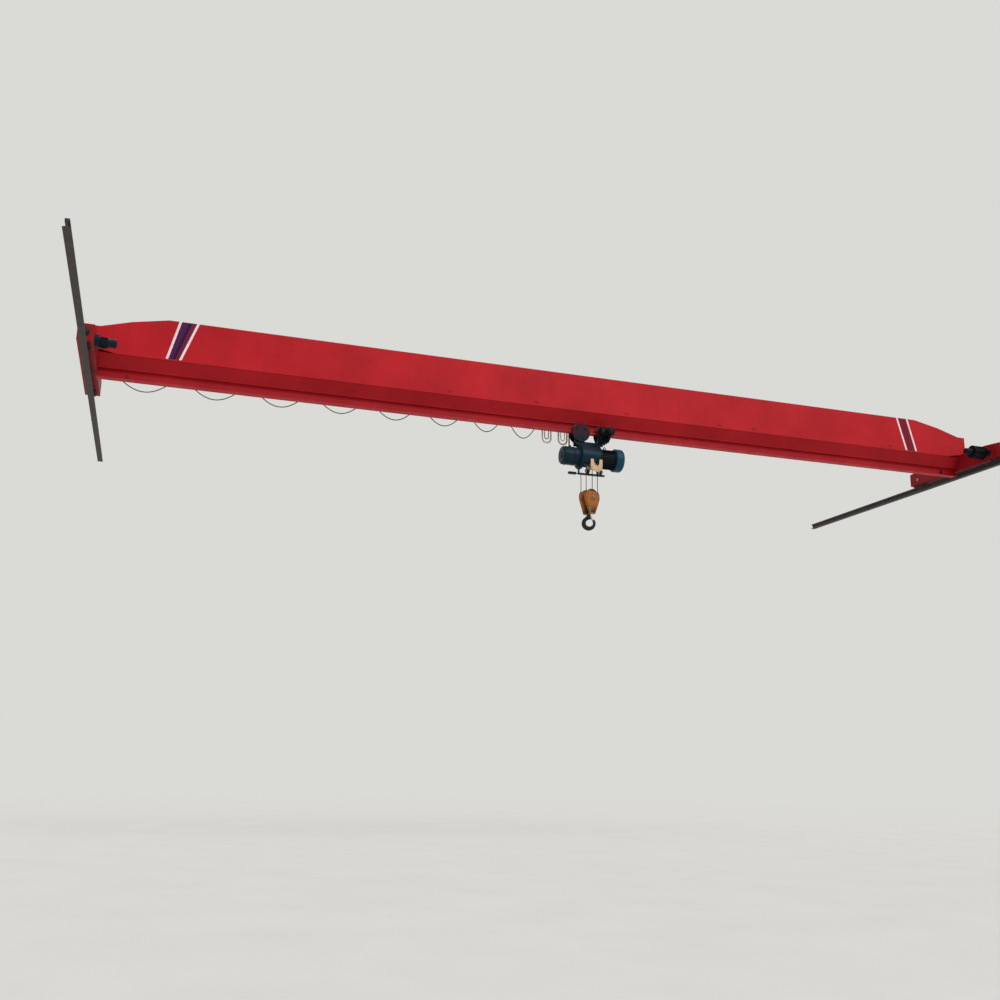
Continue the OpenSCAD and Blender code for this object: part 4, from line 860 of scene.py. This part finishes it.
# Rope frame: a welded beam in black enamel, bolted under the hoist. It carries the two pulleys on
# short pins, and the rope's dead end.
clad(black_paint, "rope_frame")
spots = [(hoist_x - 0.037, -0.030, -0.780), (hoist_x + 0.255, -0.030, -0.780)]
parts = [bolt_set("pins", spots, (0, -1, 0), 0.022, 0.012),
        bolt_set("pins", [(x, -y, z) for x, y, z in spots], (0, 1, 0), 0.022, 0.012)]
fasten("pulley_bolts", parts, "trolley", black_paint)

# Hoist motor: a round cast motor with fine ribs along it in black, and a spun steel fan cover in
# teal that stands out past it; black rings and bars on its end are painted shade for the air slots.
# Motor enamels: black on the ribs, teal on the cover; half-glossy, dusted only a little.
motor_black = enamel("motor_black_enamel", "0b1518", 0.42, dirt=0.4, settle=0.1)[0]
clad(motor_black, "hoist_motor")
teal = enamel("teal_cover_enamel", "124356", 0.34, dirt=0.5, settle=0.15)[0]
clad(teal, "motor_cover")
x = mid("hoist_motor")[0]
top = drum_z + 0.205
parts = [block("box", (x - 0.080, 0.120, top - 0.080), (x + 0.080, 0.240, top + 0.030), 0.006),
        block("lid", (x - 0.086, 0.114, top + 0.030), (x + 0.086, 0.246, top + 0.040), 0.003, 1),
        lathe("eye", [(-0.008, 0.018), (-0.006, 0.032), (0.006, 0.032), (0.008, 0.018), (-0.008, 0.018)],
        (x - 0.020, 0, top + 0.034), "Y", 36),
        block("foot", (x - 0.040, -0.018, top - 0.010), (x, 0.018, top + 0.012), 0.004)]
fasten("hoist_motor_trim", parts, "trolley", black_paint)
low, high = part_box("motor_cover")
# Black rings, bars and hub on the cover's end: painted shade where the air slots are.
slot_shade_parts = []
for radius in (0.060, 0.095, 0.130, 0.165):
    rim = [(-0.002, radius - 0.004), (0.0035, radius - 0.003), (0.0035, radius + 0.003),
            (-0.002, radius + 0.004)]
    slot_shade_parts.append(lathe("ring", rim, (high[0], 0, drum_z), "X", 72))
for k in range(12):
    bar = block("bar", (high[0] - 0.001, -0.003, drum_z + 0.030),
            (high[0] + 0.0025, 0.003, drum_z + 0.170), 0.001, 1)
    pick(bar)
    ops.transform.rotate(value=math.tau * k / 12, orient_axis="X", center_override=(high[0], 0, drum_z))
    slot_shade_parts.append(bar)
hub = [(-0.001, 0), (-0.001, 0.034), (0.004, 0.032), (0.004, 0)]
slot_shade_parts.append(lathe("hub", hub, (high[0], 0, drum_z), "X", 40))
fasten("cover_grille_painted_shade", slot_shade_parts, "trolley", black_paint)

# Control box: folded sheet on a shelf behind the hoist, a gasketed door on hinges with two turn
# locks, and four cable glands below.
clad(hoist_navy, "control_box")
low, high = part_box("control_box")
parts = []
for z in (low[2] + 0.085, high[2] - 0.060):
    parts.append(lathe("hinge", [(-0.030, 0), (-0.030, 0.007), (0.030, 0.007), (0.030, 0)],
            (low[0] + 0.012, high[1] - 0.002, z), "Z", 16))
    parts.append(lathe("lock", [(0, 0), (0, 0.014), (0.006, 0.014), (0.008, 0.011), (0.014, 0.006),
            (0.014, 0)], (high[0] - 0.045, high[1], z), "Y", 28))
fasten("door_fittings", parts, "trolley", zinc)
parts = []
gland_y = 0.359
for k in range(4):
    spot = (hoist_x - 0.120 + 0.080 + 0.060 * k, gland_y, low[2])
    parts.append(lathe("gland", [(0.004, 0.0135), (0.004, 0.019), (0.016, 0.019), (0.018, 0.0135)],
            spot, "Z", 6))
    parts.append(lathe("seal", [(0.001, 0), (0.001, 0.011), (-0.010, 0.010), (-0.010, 0)], spot, "Z", 20))
fasten("control_box_glands", parts, "trolley", nylon)

# Rope falls: four falls of 15 mm wire rope between the rope frame and the hook block's sheaves.
falls_low, falls_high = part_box("rope_falls")
block_turn = math.radians(20)


def at_block(across, outward, z, turn=block_turn):
    """A place on the hook block, which hangs turned about the vertical"""
    return Vector((hoist_x + across * math.cos(turn) - outward * math.sin(turn),
            across * math.sin(turn) + outward * math.cos(turn), z))


for i, (across, outward) in enumerate(((-0.16, -0.08), (-0.16, 0.08), (0.16, -0.08), (0.16, 0.08))):
    foot, head = at_block(across, outward, falls_low[2]), at_block(across, outward, falls_high[2])
    spots = [foot.lerp(head, k / 12) for k in range(13)]
    rope = [tube("rope", spots, rope_r)]
    fall = fasten(f"rope_fall_{i + 1}", rope, None, steel_rope, 80)
    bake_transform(fall)
    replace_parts(fall, "rope_falls")

# Hook block: each sheave turns inside an ochre cover welded up from plate, on one axle held by
# keeper plates; the covers are scraped, and cream rims on their lower edges stand for edges worn
# pale and are also a painted highlight.
# Ochre enamel: half-matt, scraped to dark steel in flecks of 35 mm, oily near the hook.
ochre, tree, shader, place, colour = enamel("ochre_block_enamel", "a0622f", 0.45, dirt=0.7)
scraped = patches(tree, place, 0.035, 0.60, 0.66, (1, 1, 0.45), 6.0)
colour = node(tree, "Mix", rgb, 2, _0=scraped, _6=colour, _7=tint("3a2c22"))
oily = node(tree, "SeparateXYZ", None, 2, Vector=place)
oily = node(tree, "MapRange", _0=oily, _1=-1.50, _2=-1.68)
oily = node(tree, "Math", times, _0=oily, _1=patches(tree, place, 0.06, 0.3, 0.6))
colour = node(tree, "Mix", rgb, 2, _0=oily, _6=colour, _7=tint("241b15"))
finish(shader, colour)
clad(ochre, "block_covers")
clad(machined, "block_axle")
sheave_z = mid("block_axle")[2]
cover_y = 0.114
edges, keeps, rivets = [], [], []
for side in (-1, 1):
    out = at_block(0, side, 0) - at_block(0, 0, 0)
    face = side * cover_y
    keeper = [(0, 0.026), (0, 0.052), (0.006, 0.052), (0.008, 0.049), (0.008, 0.026)]
    plate = lathe("keeper", [(side * a, r) for a, r in keeper], (hoist_x, face, sheave_z), "Y", 40)
    bar = block("bar", (hoist_x - 0.050, min(face, face + side * 0.010), sheave_z - 0.060),
            (hoist_x + 0.050, max(face, face + side * 0.010), sheave_z - 0.032), 0.003)
    for piece in (plate, bar):
        pick(piece)
        ops.transform.rotate(value=block_turn, orient_axis="Z", center_override=(hoist_x, 0, sheave_z))
        keeps.append(piece)
    spots = [at_block(x, face + side * 0.010, sheave_z - 0.046) for x in (-0.034, 0.034)]
    spots += [at_block(x, face, z)
            for half, z in ((0.150, -1.300), (0.155, -1.405), (0.062, -1.640), (0.040, -1.692))
            for x in (-half, half)]
    rivets.append(bolt_set("bolts", spots, out, 0.018, 0.010))
    seam_y = side * (cover_y - 0.002)
    for way in (1, -1):
        line = [at_block(way * -0.188 * math.cos(a), seam_y, sheave_z + 0.188 * math.sin(a))
                for a in [math.radians(-19 + 55 * k / 10) for k in range(11)]]
        edges.append(tube("edge", line, 0.0035, 1))
        line = [at_block(way * (0.178 - 0.114 * k / 6), seam_y, sheave_z - 0.066 - 0.292 * k / 6)
                for k in range(7)]
        edges.append(tube("edge", line, 0.0035, 1))
# Cream rims along the covers' lower edges: worn edges, and a painted highlight.
painted_highlight_rims = []
rim_r, rim_z = 0.0045, -1.7145
for side in (-1, 1):
    for y in (0.048, 0.112):
        painted_highlight_rims.append(tube("rim", [at_block(x, side * y, rim_z) for x in (-0.062, 0.062)], rim_r, 1))
    for x in (-0.0635, 0.0635):
        painted_highlight_rims.append(tube("rim", [at_block(x, side * y, rim_z) for y in (0.048, 0.112)], rim_r, 1))
        line = [at_block(x * (1 + 0.35 * k), side * 0.113, -1.713 + 0.0573 * k) for k in range(3)]
        painted_highlight_rims.append(tube("rim", line, rim_r, 1))
fasten("block_rims_painted_highlight", painted_highlight_rims, "block", cream_paint, 60)
fasten("block_axle_keepers", keeps, "block", ochre)
fasten("block_bolts", rivets, "block", ochre)
fasten("block_welds", edges, "block", ochre, 60)

# Hook: drop-forged and oil-blackened, its shank turned down through the crosshead to a thrust
# bearing and nut; a pressed latch plate on a pin closes the mouth, pushed by a coil spring.
# Forged, oil-blackened steel: near black, with 26 mm hammer marks that catch soft highlights.
forged, tree, shader, place = base("forged_black_hook", 0.4)
scale_spots = patches(tree, place, 0.05, 0.35, 0.7)
tone = node(tree, "Mix", rgb, 2, _0=scale_spots, _6=tint("121112"), _7=tint("221c19"))
hammer = node(tree, "TexNoise", Vector=place, Scale=38.0, Detail=4.0)
finish(shader, tone, node(tree, "MapRange", _0=scale_spots, _3=0.40, _4=0.62), 0.35, hammer, 0.0015, 0.35)
clad(forged, "hook", "block_crosshead")
# Pressed bright steel: the only pale metal here, rubbed in 20 mm strokes by slings.
bright_plate = mottled("bright_latch_steel", ("c4c4c0", "8b8984"), (0.02, 0.35, 0.7, (1, 1, 0.3)), 0.45, 1.0)
clad(bright_plate, "hook_latch")
hook_z = -1.905
hook_turn = math.radians(-20)


def at_hook(across, outward, up):
    """A place on the hook, from the middle of its bowl"""
    return at_block(across, outward, hook_z + up, hook_turn)


coil = []
pin_x, pin_up, coil_r = 0.020, 0.157, 0.0095
for side in (-1, 1):
    spots = []
    for a in [math.tau * k / 12 for k in range(37)]:
        spots.append(at_hook(pin_x + coil_r * math.cos(a), side * (0.0417 + 0.00042 * a),
                pin_up + coil_r * math.sin(a)))
    coil.append(tube("coil", spots, 0.0014, 1))
    pin_out = at_hook(0, side, 0) - at_hook(0, 0, 0)
    inside, outside = at_hook(pin_x, side * 0.040, pin_up), at_hook(pin_x, side * 0.052, pin_up)
    coil.append(tube("pin", [inside, outside], 0.0055))
    coil.append(bolt_set("head", [outside], pin_out, 0.014, 0.004))
fasten("latch_spring", coil, "latch", zinc, 60)
